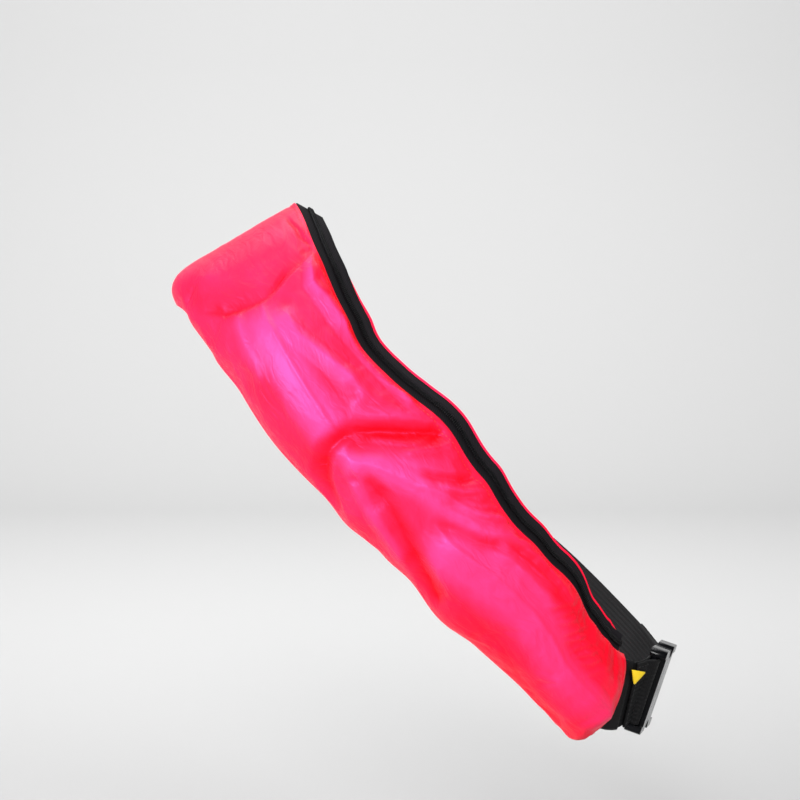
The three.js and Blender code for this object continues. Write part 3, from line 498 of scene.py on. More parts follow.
def crease(view, softness, first_reach, other_reach, points):
    """1 on the line, falling off to each side, and to nothing beyond its two ends."""
    best = np.full(view.shape[:-1], 1e9)
    side = np.zeros(view.shape[:-1])
    p = np.array(points, float)
    for a, b in zip(p[:-1], p[1:]):
        way = b - a
        t = np.clip(((view - a) @ way) / (way @ way), 0, 1)
        off = view - (a + t[..., None] * way)
        distance = np.linalg.norm(off, axis=-1)
        nearer = distance < best
        best = np.where(nearer, distance, best)
        side = np.where(nearer, off @ np.array([-way[1], way[0]]), side)
    first, last = unit(p[1] - p[0]), unit(p[-1] - p[-2])
    run_in = max(RUN_OUT, 0.9 * first_reach, 0.9 * other_reach)
    ends = smoothstep((view - p[0]) @ first, -OVERRUN, run_in)
    ends = ends * smoothstep((p[-1] - view) @ last, -OVERRUN, RUN_OUT)
    away = np.minimum(best / np.where(side > 0, first_reach, other_reach), 1)
    tent, bell = 1 - away, (1 + np.cos(math.pi * away)) / 2
    return ends * (tent + (bell - tent) * softness)


# %% Small wrinkles
def wrinkles(s, over, seed):
    """Smooth noise between -1 and 1, on places along and across the cloth."""
    spots = np.stack([s, over, np.full(s.shape, seed)], -1).reshape(-1, 3)
    return np.array([noise.noise(Vector(p)) for p in spots]).reshape(s.shape)


def fine_folds(s, over, width, fill):
    """Puckers along the zip, ripples by the lower edge, and a fine crumple everywhere, in mm."""
    across = over * width
    puckers = np.sin(2 * math.pi * s / 7.5 + 9 * wrinkles(s / 24, across / 70, 3.1))
    near_zip = np.exp(-((across / 17) ** 2)) * smoothstep(over, 0, 0.02)
    loose = smoothstep(s, 120, 220) * (0.5 + 0.5 * wrinkles(s / 30, across / 50, 8.2))
    depth = 0.4 * loose * puckers * near_zip
    low = np.exp(-(((1 - over) * width / 14) ** 2))
    depth = depth + 0.12 * low * np.sin(2 * math.pi * s / 17 + 6 * wrinkles(s / 30, 0 * s, 5.5))
    crumple = 1 - np.abs(wrinkles((s + 0.8 * across) / 21, (across - 0.3 * s) / 15, 1.7)) * 2
    small = 1 - np.abs(wrinkles((s - 0.9 * across) / 11, (across + 0.4 * s) / 17, 6.4)) * 2
    return (depth + 0.3 * crumple**3 + 0.2 * small**3) * fill


# %% [markdown]
# The pouch
#
# The fine pouch is the same grid with many more points, moved by the swelling, then by the folds,
# along its own normals. An attribute records how deep in a fold each point lies, and the material
# paints light and shade from it: painted shade, a deeper red, in the folds, and a painted sheen, a
# pinker red, on the ridges. The steep side by the zip and the lower end get painted shade as well.

# %% The pouch
ROWS, FRONT, BACK = 361, 132, 16
s, w, n = pouch_grid(ROWS, FRONT, BACK)
s_grid = np.broadcast_to(s, w.shape)
base = in_pouch(s_grid, w, n)
low, high, _, _, _, fill = pouch_size(s)
over = crowded(FRONT) + 0 * s

rows_at = np.linspace(0, COARSE_ROWS - 1, ROWS)
columns_at = np.linspace(0, COARSE_FRONT, FRONT + 1)


def finer(field):
    """A coarse grid's field on the fine grid, smooth in both directions."""
    rough = np.stack([np.interp(rows_at, np.arange(COARSE_ROWS), column) for column in field.T], 1)
    out = np.stack([np.interp(columns_at, np.arange(COARSE_FRONT + 1), row) for row in rough])
    for _ in range(3):
        out[1:-1] = (out[:-2] + 2 * out[1:-1] + out[2:]) / 4
        out[:, 1:-1] = (out[:, :-2] + 2 * out[:, 1:-1] + out[:, 2:]) / 4
    return out


def whole(front):
    """All the points round the pouch, with this front."""
    return np.concatenate([front, base[:, FRONT + 1 :]], 1)


def outward(front):
    """The front's normals, looking away from the body."""
    grid = whole(front)
    across = np.roll(grid, -1, 1) - np.roll(grid, 1, 1)
    normals = unit(np.cross(across, np.gradient(grid, axis=0)) + 1e-12)[:, : FRONT + 1]
    return -normals if normals[ROWS // 2, FRONT // 2, 1] > 0 else normals


front = base[:, : FRONT + 1] + np.stack([finer(swell[..., k]) for k in range(3)], -1)
out = outward(front)
view = front_view(front)
depth = np.zeros(over.shape)
for height, *fold in FOLDS:
    depth += height * crease(view, *fold)
facing = smoothstep(-(out @ SIGHT), 0.05, 0.45)  # the sides that the view can't see get no folds
taper = smoothstep(over, 0.0, 0.05) * smoothstep(1 - over, 0.0, 0.06)
ends = smoothstep(s, POUCH_START + 4, POUCH_START + 40) * smoothstep(POUCH_END - s, 2, 26)
depth = depth * facing * taper * ends + fine_folds(s + 0 * over, over, low + high, fill) * taper * ends
front = front + out * depth[..., None]
print(f"folds: {depth.min():.1f} to {depth.max():.1f} mm")

pouch_points = whole(front)
pouch = loft("pouch", pouch_points, np.stack([s_grid, lengths(pouch_points)], -1))
shade = pouch.data.attributes.new("fold", "FLOAT", "POINT")
# the attribute "fold" is painted shade and sheen: fold depth darkens the folds and makes the ridges pinker
sunk = np.zeros(pouch_points.shape[:2])
# painted shade: the steep side by the zip, which faces away from the light, and the lower end, which gets
# less light, are made a deeper red
steep_side_shade = crease(view, 0.6, 3, 24, ZIP_SIDE_LINE) * facing
sunk[:, : FRONT + 1] = np.clip(depth / 6 - 1.2 * steep_side_shade - 0.5 * smoothstep(s, 240, 420), -1, 1)
shade.data.foreach_set("value", sunk.ravel())
finished(pouch, "red_nylon", "cover", "bladder")

# %% [markdown]
# The zip
#
# A nylon zip is two woven tapes with a coil sewn along the edge of each, and the two coils bite into
# one another. Each tape is a thin strip lofted along the pouch. The coil repeats a small loop every
# millimetre and a half, so it belongs to Geometry Nodes: a guide line is cut into equal steps, and
# a small rounded tooth is set on each step, turned to the line and to the tape.


# %% The zip's tapes
ZIP_FROM, ZIP_TO, ZIP_ROWS, TAPE_TUCK = POUCH_START + 16, POUCH_END - 8, 421, 2.0


def square_to(way):
    return np.stack([-way[..., 1], way[..., 0]], -1)


def strip_section(points, thickness):
    """A thin strip's outline from its middle line, in (w, n), for each row of points."""
    aside = square_to(unit(np.gradient(points, axis=-2))) * thickness / 2
    return np.concatenate([points + aside, (points - aside)[..., ::-1, :]], -2)


def zip_line(s):
    """Middle of the zip's band: the edge of the front, the turn past it, and its landing."""
    edge = np.stack(front_line(s[:, None], np.array([[0.0, 0.012]])), -1)
    heading = unit(edge[:, 0] - edge[:, 1])
    aside = square_to(heading)
    sunk = CLOTH + GAP + ZIP_TAPE / 2
    if (aside[:, 1] > 0).mean() > 0.5:
        aside = -aside
    turn = edge[:, 0] + aside * sunk + heading * ZIP_TAPE
    tuck = edge[:, 0] + aside * sunk - heading * TAPE_TUCK
    _, high, _, _, _, fill = pouch_size(s)
    landing = np.stack([high + gather(s, fill) + ZIP_RUN, 0 * s + sunk], -1)
    return tuck, turn, landing


zip_s = np.linspace(ZIP_FROM, ZIP_TO, ZIP_ROWS)
tuck, turn, landing = zip_line(zip_s)
run = unit(landing - turn)
reach = np.linalg.norm(landing - turn, axis=-1, keepdims=True)
middle_line = turn + run * reach / 2


def zip_tape(name, points):
    outline = strip_section(np.stack(points, 1), ZIP_TAPE)
    s2 = np.repeat(zip_s[:, None], outline.shape[1], 1)
    grid = in_pouch(s2, outline[..., 0], outline[..., 1])
    return loft(name, grid, np.stack([s2, lengths(grid)], -1))


front_tape = zip_tape("zip_tape_upper", [tuck, turn, middle_line - run * GAP / 2])
back_tape = zip_tape("zip_tape_lower", [middle_line + run * GAP / 2, landing])
finished(front_tape, "zip_cloth", "zip_tape_front")
finished(back_tape, "zip_cloth", "zip_tape_back")


# %% Node helpers
def put(node, **settings):
    """Sets a node's sockets, with _ for each space in a name, or its properties."""
    for title, value in settings.items():
        socket = title.replace("_", " ")
        if socket in node.inputs:
            node.inputs[socket].default_value = value
        else:
            setattr(node, title, value)
    return node


def add(tree, kind, **settings):
    return put(tree.nodes.new(kind), **settings)


# %% Geometry Nodes: one small shape repeated along a guide line
def repeat_tree(name, length, width, height):
    """A tree that sets a rounded grain every Pitch along a line of points, flat on the cloth."""
    tree = bpy.data.node_groups.new(name, "GeometryNodeTree")
    socket, link = tree.interface.new_socket, tree.links.new
    socket("Guide", in_out="INPUT", socket_type="NodeSocketGeometry")
    socket("Material", in_out="INPUT", socket_type="NodeSocketMaterial")
    socket("Grains", in_out="OUTPUT", socket_type="NodeSocketGeometry")
    sizes = {"Pitch": 0.002, "Length": length, "Width": width, "Height": height, "Turn": 0.0}
    for title, value in sizes.items():
        socket(title, in_out="INPUT", socket_type="NodeSocketFloat").default_value = value
    given = add(tree, "NodeGroupInput").outputs

    # the guide, cut into equal steps
    line = add(tree, "GeometryNodeMeshToCurve")
    cut = add(tree, "GeometryNodeResampleCurve", mode="LENGTH")
    link(given["Guide"], line.inputs[0])
    link(line.outputs[0], cut.inputs["Curve"])
    link(given["Pitch"], cut.inputs["Length"])

    # the grain
    ball = add(tree, "GeometryNodeMeshUVSphere", Segments=8, Rings=5, Radius=0.5)
    size, grain = add(tree, "ShaderNodeCombineXYZ"), add(tree, "GeometryNodeTransform")
    for axis, title in zip("XYZ", ("Length", "Width", "Height")):
        link(given[title], size.inputs[axis])
    link(size.outputs[0], grain.inputs["Scale"])
    link(ball.outputs["Mesh"], grain.inputs["Geometry"])

    # its turn: standing on the cloth, then along the line, then the slant of its own
    up = add(tree, "GeometryNodeInputNamedAttribute", data_type="FLOAT_VECTOR", Name="up")
    stand = add(tree, "FunctionNodeAlignRotationToVector", axis="Z")
    head = add(tree, "FunctionNodeAlignRotationToVector", axis="X", pivot_axis="Z")
    slant = add(tree, "FunctionNodeAxisAngleToRotation", Axis=(0, 0, 1))
    spin = add(tree, "FunctionNodeRotateRotation", rotation_space="LOCAL")
    link(up.outputs["Attribute"], stand.inputs["Vector"])
    link(stand.outputs[0], head.inputs["Rotation"])
    link(add(tree, "GeometryNodeInputTangent").outputs[0], head.inputs["Vector"])
    link(given["Turn"], slant.inputs["Angle"])
    link(head.outputs[0], spin.inputs["Rotation"])
    link(slant.outputs[0], spin.inputs["Rotate By"])

    # one grain on each step, made real and given its material
    copies = add(tree, "GeometryNodeInstanceOnPoints")
    real, dressed = add(tree, "GeometryNodeRealizeInstances"), add(tree, "GeometryNodeSetMaterial")
    link(cut.outputs[0], copies.inputs["Points"])
    link(grain.outputs[0], copies.inputs["Instance"])
    link(spin.outputs[0], copies.inputs["Rotation"])
    link(copies.outputs[0], real.inputs[0])
    link(real.outputs[0], dressed.inputs["Geometry"])
    link(given["Material"], dressed.inputs["Material"])
    link(dressed.outputs[0], add(tree, "NodeGroupOutput").inputs[0])
    return tree


def guide_line(name, points, ups):
    """A chain of edges in millimetres, each point knowing which way is off the cloth."""
    mesh = bpy.data.meshes.new(name)
    edges = [(i, i + 1) for i in range(len(points) - 1)]
    mesh.from_pydata((np.asarray(points) * MM).tolist(), edges, [])
    mesh.attributes.new("up", "FLOAT_VECTOR", "POINT").data.foreach_set("vector", np.asarray(ups).ravel())
    return linked(name, mesh)


def repeated(name, guides, tree, material, **inputs):
    """Runs the tree on each guide and joins the plain meshes that it makes into one piece."""
    made = []
    sockets = {item.name: item.identifier for item in tree.interface.items_tree if item.item_type == "SOCKET"}
    for guide in guides:
        run_tree = guide.modifiers.new("repeat", "NODES")
        run_tree.node_group = tree
        for title, value in {**inputs, "Material": material}.items():
            run_tree[sockets[title]] = value
        guide.update_tag()
        bpy.context.view_layer.update()
        graph = bpy.context.evaluated_depsgraph_get()
        made.append(linked(name, bpy.data.meshes.new_from_object(guide.evaluated_get(graph))))
        bpy.data.objects.remove(guide)
    piece = made[0]
    if len(made) > 1:
        with bpy.context.temp_override(active_object=piece, selected_editable_objects=made, object=piece):
            bpy.ops.object.join()
    piece.name = name
    return piece


# %% [markdown]
# Cloth and plastic
#
# Every finish is built from nodes. The red nylon is thin and bright: its colour is so strong that lit
# ridges lean to pink and deep folds to a pure red, and the attribute on the pouch paints both in as
# well, as painted sheen on the ridges and painted shade in the folds. A fine weave and a faint crumple
# go to its bump. The black pieces differ in scale and gloss: the zip's tape is matt with a slanted
# weave, the webbing is ribbed along its length, and the moulded buckle is glossy.


# %% Material helpers
WAVE_SCALE = 0.3183  # a wave texture of this scale has about one wave in each unit


def finish_of(name, colour, rough, **settings):
    material = bpy.data.materials.new(name)
    material.use_nodes = True
    tree = material.node_tree
    shader = put(tree.nodes["Principled BSDF"], Base_Color=(*colour, 1), Roughness=rough, **settings)
    return material, tree, shader


def coat(material, *pieces):
    for piece in pieces:
        piece.data.materials.append(material)


def scaled_uv(tree, x=1, y=1):
    mapping = add(tree, "ShaderNodeMapping", Scale=(x, y, 1))
    tree.links.new(add(tree, "ShaderNodeUVMap", uv_map="cloth").outputs["UV"], mapping.inputs["Vector"])
    return mapping.outputs["Vector"]


def noise_on(tree, vector, **settings):
    node = add(tree, "ShaderNodeTexNoise", **settings)
    tree.links.new(vector, node.inputs["Vector"])
    return node.outputs["Fac"]


def waves_on(tree, vector, direction, profile, scale):
    node = add(tree, "ShaderNodeTexWave", wave_type="BANDS", bands_direction=direction, wave_profile=profile)
    tree.links.new(vector, put(node, Scale=scale).inputs["Vector"])
    return node.outputs["Fac"]


def weave(tree, vector, pitch):
    """A plain weave's height from two crossed waves, pitch in millimetres of cloth."""
    both = add(tree, "ShaderNodeMath", operation="MULTIPLY")
    for k, direction in enumerate("XY"):
        tree.links.new(waves_on(tree, vector, direction, "SIN", 1 / pitch * WAVE_SCALE), both.inputs[k])
    return both.outputs[0]


def bump(tree, shader, layers):
    """Chains bumps, each a height, a strength and a distance in metres, into the shader's normal."""
    last = None
    for height, strength, distance in layers:
        node = add(tree, "ShaderNodeBump", Strength=strength, Distance=distance)
        tree.links.new(height, node.inputs["Height"])
        if last is not None:
            tree.links.new(last, node.inputs["Normal"])
        last = node.outputs["Normal"]
    tree.links.new(last, shader.inputs["Normal"])


def ramp(tree, shader, source, stops, socket="Base Color"):
    """Leads a value through stops of colour into the shader's socket."""
    node = add(tree, "ShaderNodeValToRGB")
    while len(node.color_ramp.elements) < len(stops):
        node.color_ramp.elements.new(0.5)
    for element, (place, colour) in zip(node.color_ramp.elements, stops):
        element.position = place
        element.color = (*colour, 1)
    tree.links.new(source, node.inputs["Fac"])
    tree.links.new(node.outputs["Color"], shader.inputs[socket])


# %% Red nylon
nylon, tree, shader = finish_of(
    "red_nylon", (0.95, 0.011, 0.045), 0.42, Specular_IOR_Level=0.24, Specular_Tint=(0.6, 0.22, 0.9, 1),
    Sheen_Weight=0.25, Sheen_Roughness=0.5, Sheen_Tint=(1.0, 0.0, 0.04, 1),
)
plain = scaled_uv(tree)
# painted shade and sheen: the pouch's "fold" attribute darkens the folds, the steep side by the zip and the
# lower end, and lightens the ridges
painted_shade_and_sheen = add(tree, "ShaderNodeAttribute", attribute_name="fold")
lift = add(tree, "ShaderNodeMapRange", From_Min=-1, From_Max=1)
tree.links.new(painted_shade_and_sheen.outputs["Fac"], lift.inputs["Value"])
mottle = add(tree, "ShaderNodeMath", operation="MULTIPLY_ADD")
mottle.inputs[1].default_value, mottle.inputs[2].default_value = 0.22, -0.11
tree.links.new(noise_on(tree, plain, Scale=0.03, Detail=3.0, Roughness=0.55), mottle.inputs[0])
total = add(tree, "ShaderNodeMath", operation="ADD")
tree.links.new(lift.outputs["Result"], total.inputs[0])
tree.links.new(mottle.outputs[0], total.inputs[1])
# the lowest stop is painted shade in the folds, the highest a pinker painted sheen on the ridges
shade_and_sheen_reds = [(0.1, (0.8, 0.001, 0.004)), (0.5, (1.0, 0.009, 0.042)), (0.85, (1.0, 0.025, 0.12))]
ramp(tree, shader, total.outputs[0], shade_and_sheen_reds)
crinkle = noise_on(tree, scaled_uv(tree, 0.55, 1.3), Scale=0.09, Detail=4.0, Roughness=0.5, Distortion=1.4)
bump(tree, shader, [(crinkle, 0.6, 0.0016), (weave(tree, plain, 0.55), 0.12, 0.0001)])
coat(nylon, pouch)

# %% Zip cloth and coil
tape_cloth, tree, shader = finish_of("zip_cloth", (0.002, 0.002, 0.003), 0.9, Specular_IOR_Level=0.12)
twill = waves_on(tree, scaled_uv(tree), "DIAGONAL", "TRI", 0.33)
bump(tree, shader, [(twill, 0.5, 0.0003)])
ramp(tree, shader, twill, [(0.2, (0.006, 0.005, 0.0065)), (0.9, (0.014, 0.012, 0.015))])
coat(tape_cloth, front_tape, back_tape)

coil_nylon, tree, shader = finish_of("zip_coil", (0.008, 0.008, 0.009), 0.5, Specular_IOR_Level=0.12)
grit = noise_on(tree, add(tree, "ShaderNodeTexCoord").outputs["Object"], Scale=900.0, Detail=2.0)
ramp(tree, shader, grit, [(0.35, (0.0015, 0.0015, 0.002)), (0.7, (0.009, 0.009, 0.01))])
bump(tree, shader, [(grit, 0.2, 0.0002)])

# %% The zip's coil
COIL_PITCH, COIL_ASIDE, COIL_RISE = 1.5, 0.95, 1.0
coil_tree = repeat_tree("coil", 0.0011, 0.0027, 0.0019)
lines = []
for side, shift in ((-1, 0.0), (1, COIL_PITCH / 2)):
    spots = np.linspace(ZIP_FROM + shift, ZIP_TO, ZIP_ROWS)
    _, b, c = zip_line(spots)
    along_run = unit(c - b)
    over_tape = square_to(along_run)
    if (over_tape[:, 1] < 0).mean() > 0.5:
        over_tape = -over_tape
    at = (b + c) / 2 + along_run * side * COIL_ASIDE + over_tape * (ZIP_TAPE / 2 + COIL_RISE)
    _, _, across, out_way = frames(spots)
    ups = across * over_tape[:, :1] + out_way * over_tape[:, 1:]
    lines.append(guide_line("coil_guide", in_pouch(spots, at[:, 0], at[:, 1]), ups))
coil = repeated("zip_teeth", lines, coil_tree, coil_nylon, Pitch=COIL_PITCH * MM, Turn=0.12)
finished(coil, "zip_coil", "zip_coil")

# %% [markdown]
# The webbing and its sleeves
#
# Webbing is a flat woven strap with soft round edges and narrow ribs along it. A strap that rounds a
# bar bends in its side view only, so its middle line is drawn there, its corners are rounded, and
# the section is carried along it. The ribs are too fine to model and go to the bump.


# %% The webbing
def rounded(corners, radius, steps=6):
    p = np.array(corners, float)
    line = [p[0]]
    for a, b, c in zip(p[:-2], p[1:-1], p[2:]):
        cut = min(radius, np.linalg.norm(a - b) * 0.48, np.linalg.norm(c - b) * 0.48)
        start, end = b + unit(a - b) * cut, b + unit(c - b) * cut
        t = np.linspace(0, 1, steps + 1)[:, None]
        line.extend((1 - t) ** 2 * start + 2 * t * (1 - t) * b + t**2 * end)
    line.append(p[-1])
    return np.array(line)


def divided(line, step):
    parts = [line[:1]]
    for a, b in zip(line[:-1], line[1:]):
        count = max(1, math.ceil(np.linalg.norm(b - a) / step))
        parts.append(a + (b - a) * np.linspace(0, 1, count + 1)[1:, None])
    return np.concatenate(parts)


def strap_section(half, thick):
    """A flat strap's section with round edges, in (w, height above its middle)."""
    turn = np.linspace(-math.pi / 2, math.pi / 2, 7)
    r = thick / 2
    right = np.stack([half - r + r * np.cos(turn), r * np.sin(turn)], -1)
    flat = np.linspace(half - r, r - half, 15)[1:-1]
    top = np.stack([flat, np.full(len(flat), r)], -1)
    return np.concatenate([right, top, -right, -top], 0)


def strap(name, corners, step):
    line = divided(rounded(corners, WEB_BEND), step)
    way = unit(np.gradient(line, axis=0))
    section = strap_section(WEB_WIDTH / 2, WEB)
    s2 = line[:, None, 0] - way[:, None, 1] * section[None, :, 1]
    n2 = line[:, None, 1] + way[:, None, 0] * section[None, :, 1]
    w2 = np.broadcast_to(section[None, :, 0], s2.shape)
    uv = np.stack([np.broadcast_to(lengths(line)[:, None], s2.shape), w2], -1)
    return loft(name, on_belt(s2, w2, n2), uv)


LAYER_1 = WEB / 2
LAYER_2 = LAYER_1 + WEB + GAP
DOUBLED_LAYER = POUCH_LAYER + WEB + GAP
WEB_BEND, WEB_TUCK, SLEEVE_REACH, TAIL_LENGTH = 2.4, 16.0, 9.0, 70.0
END_BAR, SLOT, MIDDLE_BAR = 5.0, 5.4, 3.4
NEAR, FAR = -BUCKLE_LENGTH / 2, BUCKLE_LENGTH / 2
BESIDE = GAP + WEB / 2
rise = POUCH_END + SLEEVE_REACH + WEB_BEND
fall = BUCKLE_AT + NEAR - GAP
near_turn = BUCKLE_AT + NEAR + END_BAR + BESIDE
near_over = WEB + GAP + END_BAR + BESIDE
short_strap = strap("strap_short", [
    (POUCH_END - WEB_TUCK, POUCH_LAYER), (rise, POUCH_LAYER), (fall - WEB, LAYER_1),
    (near_turn, LAYER_1), (near_turn, near_over), (fall - WEB, near_over),
    (fall - 3 * WEB, LAYER_2), (rise + 2 * WEB, DOUBLED_LAYER),
], 1.5)
grip_to = FAR - END_BAR - SLOT
up = BUCKLE_AT + grip_to + BESIDE
down = BUCKLE_AT + grip_to - MIDDLE_BAR - BESIDE
grip_over = WEB + GAP + MIDDLE_BAR + BESIDE
rear = BELT_LENGTH + POUCH_START
long_strap = strap("strap_long", [
    (BUCKLE_AT + FAR + TAIL_LENGTH, LAYER_2), (up, LAYER_2), (up, grip_over), (down, grip_over),
    (down, LAYER_1), (rear - SLEEVE_REACH - WEB_TUCK, LAYER_1),
    (rear - SLEEVE_REACH - WEB_BEND, POUCH_LAYER), (rear + WEB_TUCK, POUCH_LAYER),
], 2.0)
finished(short_strap, "black_webbing", "webbing_short")
finished(long_strap, "black_webbing", "webbing_long")


# %% The sleeves at the pouch's ends
def sleeve(name, start, end):
    """A flat sleeve of doubled cloth round the strap, its two open ends turned in."""
    hole = strap_section(WEB_WIDTH / 2 + SLEEVE_GAP, 2 * (WEB / 2 + SLEEVE_GAP))
    skin = strap_section(WEB_WIDTH / 2 + SLEEVE_GAP + SLEEVE, 2 * (WEB / 2 + SLEEVE_GAP + SLEEVE))
    spots = np.linspace(start, end, 19)
    rings = np.stack([skin] * len(spots) + [hole] * len(spots))
    ring_s = np.broadcast_to(np.concatenate([spots, spots[::-1]])[:, None], rings.shape[:2])
    grid = on_belt(ring_s, rings[..., 0], POUCH_LAYER + rings[..., 1])
    return loft(name, grid, np.stack([ring_s, lengths(grid)], -1), ring=True)


front_sleeve = sleeve("sleeve_front", POUCH_END - WEB_TUCK, POUCH_END + SLEEVE_REACH)
rear_sleeve = sleeve("sleeve_rear", POUCH_START - SLEEVE_REACH, POUCH_START + WEB_TUCK)
finished(front_sleeve, "black_nylon", "end_front")
finished(rear_sleeve, "black_nylon", "end_rear")

# %% Webbing and sleeve cloth
ribbed, tree, shader = finish_of("black_webbing", (0.006, 0.006, 0.007), 0.7, Specular_IOR_Level=0.2)
lanes = scaled_uv(tree)
threads = weave(tree, lanes, 1.1)
bump(tree, shader, [(waves_on(tree, lanes, "Y", "SIN", 0.1), 0.5, 0.0005), (threads, 0.6, 0.00025)])
ramp(tree, shader, threads, [(0.1, (0.0012, 0.0012, 0.0015)), (0.9, (0.005, 0.005, 0.006))])
coat(ribbed, short_strap, long_strap)

black_cloth, tree, shader = finish_of("black_nylon", (0.006, 0.006, 0.007), 0.6, Specular_IOR_Level=0.2)
fabric = scaled_uv(tree)
checks = weave(tree, fabric, 0.7)
bump(tree, shader, [(noise_on(tree, fabric, Scale=0.12, Detail=4.0), 0.4, 0.001), (checks, 0.4, 0.00015)])
ramp(tree, shader, checks, [(0.1, (0.0012, 0.0012, 0.0015)), (0.9, (0.004, 0.004, 0.005))])
coat(black_cloth, front_sleeve, rear_sleeve)

# %% [markdown]
# The buckle
#
# Both halves are moulded plastic. Their solids already have the right shape, but real mouldings have
# no sharp edges, and a sharp edge catches no light. Each half is copied, its loose triangles are
# merged, and a Bevel modifier rounds every edge before it is made a plain mesh again.


# %% The buckle
def softened(node, name, width):
    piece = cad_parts[node].copy()
    piece.data = piece.data.copy()
    piece.name = name
    for key in list(piece.keys()):
        del piece[key]
    piece.parent = None
    scene.collection.objects.link(piece)
    piece.data.materials.clear()
    piece.modifiers.new("merge", "WELD").merge_threshold = 1e-6
    edges = piece.modifiers.new("edges", "BEVEL")
    edges.width, edges.segments, edges.limit_method, edges.angle_limit = width, 3, "ANGLE", math.radians(35)
    graph = bpy.context.evaluated_depsgraph_get()
    made = linked(name, bpy.data.meshes.new_from_object(piece.evaluated_get(graph)))
    bpy.data.objects.remove(piece)
    made.data.set_sharp_from_angle(angle=math.radians(40))
    return made


moulded, tree, shader = finish_of("black_plastic", (0.003, 0.0032, 0.004), 0.16, Specular_IOR_Level=0.12)
where = add(tree, "ShaderNodeTexCoord").outputs["Object"]
swirl = noise_on(tree, where, Scale=60.0, Detail=3.0)
ramp(tree, shader, swirl, [(0.3, (0.14, 0.14, 0.14)), (0.75, (0.24, 0.24, 0.24))], "Roughness")
bump(tree, shader, [(swirl, 0.05, 0.0004), (noise_on(tree, where, Scale=1800.0, Detail=2.0), 0.08, 0.00004)])
for node, name in (("buckle_male", "buckle_prongs"), ("buckle_female", "buckle_socket")):
    half = softened(node, name, 0.0005)
    coat(moulded, half)
    finished(half, "black_plastic", node)

# %% [markdown]
# The pull tab
#
# A small tab of bright yellow webbing lies on the strap's doubled end. It is cut to three corners,
# with its edges heat-sealed, so it gets a thin plate with rounded corners and a soft edge.

# %% The pull tab
TAB_LENGTH, TAB_WIDTH, TAB, TAB_START, TAB_PLACE, TAB_ROUND = 18.0, 13.0, 1.0, 6.0, 9.0, 1.6
TAB_CORNERS = np.array([(0, 1), (0.4, 0), (1, 0.65)])
tab_s = POUCH_END + TAB_START + TAB_LENGTH / 2
corners = np.stack([(TAB_CORNERS[:, 0] - 0.5) * TAB_LENGTH, TAB_PLACE + TAB_CORNERS[:, 1] * TAB_WIDTH], -1)
seam_at = (corners[-1:] + corners[:1]) / 2
outline = rounded(np.concatenate([seam_at, corners, seam_at]), TAB_ROUND, 5)[:-1]
centre = outline.mean(0)
layers = [(0.35, 0.0), (0.0, 0.3), (0.0, 0.7), (0.35, 1.0)]  # inset in mm, and share of the height
line0, along0, across0, out0 = (x[0] for x in frames(np.array([tab_s])))
base_n = DOUBLED_LAYER + WEB / 2 + GAP
tab_points = []
for inset, height in layers:
    ring = outline + unit(centre - outline) * inset
    tab_points.append(line0 + ring[:, :1] * along0 + ring[:, 1:] * across0 + (base_n + height * TAB) * out0)
tab = loft("tab", np.array(tab_points), np.repeat(outline[None], len(layers), 0))
yellow, tree, shader = finish_of("yellow_tab", (0.95, 0.7, 0.02), 0.55)
knit = weave(tree, scaled_uv(tree), 0.9)
bump(tree, shader, [(knit, 0.6, 0.0003)])
ramp(tree, shader, knit, [(0.1, (0.95, 0.62, 0.006)), (0.8, (1.0, 0.85, 0.02))])
coat(yellow, tab)
finished(tab, "yellow_tab", "pull_tab")

# %% [markdown]
# Stitches
#
# The red cloth is sewn to the zip with a row of small stitches, and the strap's doubled end is held by
# a sewn box. A stitch is the same small grain as the zip's coil, longer and thinner, so the same tree
# sets them along guide lines that lie on the cloth.

# %% Stitches along the zip
STITCH_PITCH, STITCH_RISE = 0.0034, 0.1
thread_red = finish_of("thread_red", (0.7, 0.003, 0.012), 0.6)[0]
thread_black = finish_of("thread_black", (0.015, 0.015, 0.017), 0.5)[0]
stitch_tree = repeat_tree("stitch", 0.0024, 0.0005, 0.0005)
sewn = slice(14, ROWS - 14), int(np.argmin(np.abs(over[0] - 0.03)))
seam_out = outward(front)[sewn]
seam = guide_line("seam_guide", front[sewn] + seam_out * 0.15, seam_out)
zip_seam = repeated("zip_stitches", [seam], stitch_tree, thread_red, Pitch=STITCH_PITCH)
finished(zip_seam, "red_nylon")

# %% The sewn box on the strap's doubled end
doubled_from, doubled_to = rise + 2 * WEB, fall - 3 * WEB
box_from, box_to, box_half = doubled_from + 1.5, doubled_to - 1.0, WEB_WIDTH / 2 - 3
top_from, top_to = (layer + WEB / 2 + STITCH_RISE for layer in (DOUBLED_LAYER, LAYER_2))
box = np.array([(box_from, -box_half), (box_from, box_half), (box_to, box_half), (box_to, -box_half)])
guides = []
for a, b in zip(box, np.roll(box, -1, 0)):
    s3, w3 = (a + (b - a) * np.linspace(0, 1, 30)[:, None]).T
    n3 = top_from + (top_to - top_from) * (s3 - doubled_from) / (doubled_to - doubled_from)
    guides.append(guide_line("box_guide", on_belt(s3, w3, n3), frames(s3)[3]))
box_seam = repeated("strap_stitches", guides, stitch_tree, thread_black, Pitch=STITCH_PITCH)
finished(box_seam, "black_webbing")

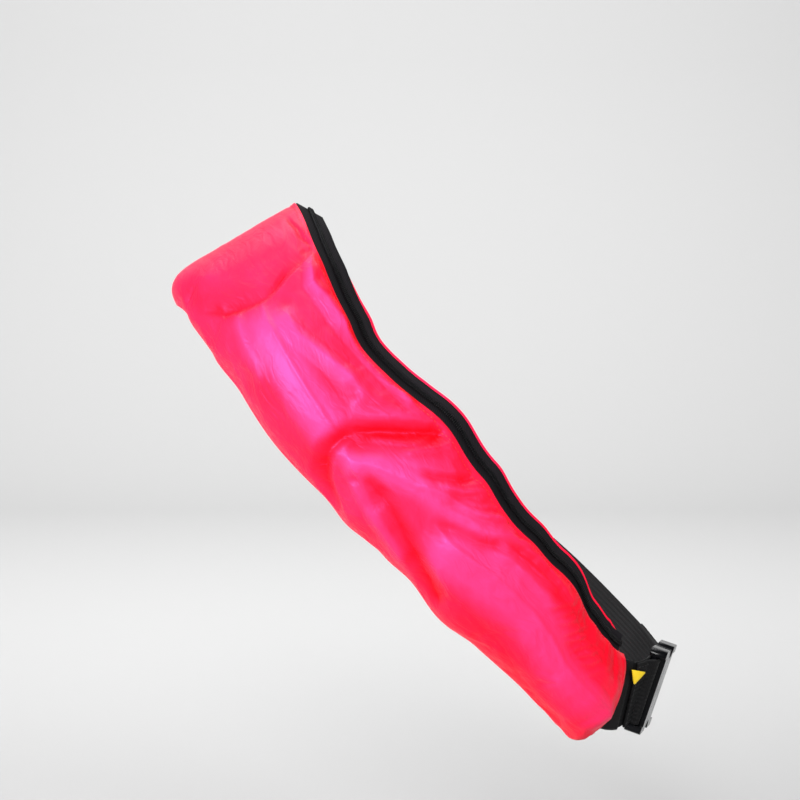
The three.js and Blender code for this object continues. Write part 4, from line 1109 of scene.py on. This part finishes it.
# %% [markdown]
# Floor and light
#
# A plain pale floor rises into a backdrop. One strong soft light stands low on the left, where it
# grazes the ridges, and another lights the front. Weaker ones on the right and above fill the shadows,
# one lights the backdrop, and the world adds a little even light, as in a product photograph.

# %% Floor and light
FLOOR, FLOOR_FRONT, FLOOR_BACK, FLOOR_BEND, FLOOR_SIDE, BACKDROP_TOP = -0.48, -3.0, 2.2, 0.7, 5.0, 4.0
turns = np.linspace(0, math.pi / 2, 13)
profile = [(FLOOR_FRONT, 0.0)]
profile += [(FLOOR_BACK + FLOOR_BEND * math.sin(a), FLOOR_BEND * (1 - math.cos(a))) for a in turns]
profile.append((FLOOR_BACK + FLOOR_BEND, BACKDROP_TOP))
count = len(profile)
floor_points = [(x / MM, y / MM, (FLOOR + z) / MM) for x in (-FLOOR_SIDE, FLOOR_SIDE) for y, z in profile]
floor = new_piece("floor", floor_points, [(k, count + k, count + k + 1, k + 1) for k in range(count - 1)])
coat(finish_of("paper", (0.27, 0.27, 0.27), 0.9)[0], floor)

LIGHTS = [  # name, place, target, size, power
    ("left", (-1.15, -1.0, 0.4), (0.05, -0.1, -0.1), 0.9, 66),
    ("front", (-0.1, -2.2, 0.9), (0.1, -0.1, -0.1), 0.6, 48),
    ("right", (1.8, -1.5, 0.6), (0.1, -0.1, -0.15), 0.7, 22),
    ("top", (0.2, 0.0, 1.8), (0.05, -0.05, -0.05), 0.8, 12),
    ("backdrop", (0.0, 1.2, 1.6), (0.0, 2.6, 0.3), 2.0, 140),
]
for name, place, target, size, power in LIGHTS:
    lamp = bpy.data.lights.new(name, "AREA")
    lamp.shape, lamp.size, lamp.energy = "DISK", size, power
    light = bpy.data.objects.new(name, lamp)
    light.location = place
    light.rotation_euler = (Vector(target) - Vector(place)).to_track_quat("-Z", "Y").to_euler()
    scene.collection.objects.link(light)

world = bpy.data.worlds.new("studio")
world.use_nodes = True
put(world.node_tree.nodes["Background"], Color=(1, 1, 1, 1), Strength=0.09)
scene.world = world
scene.view_settings.view_transform = "Standard"
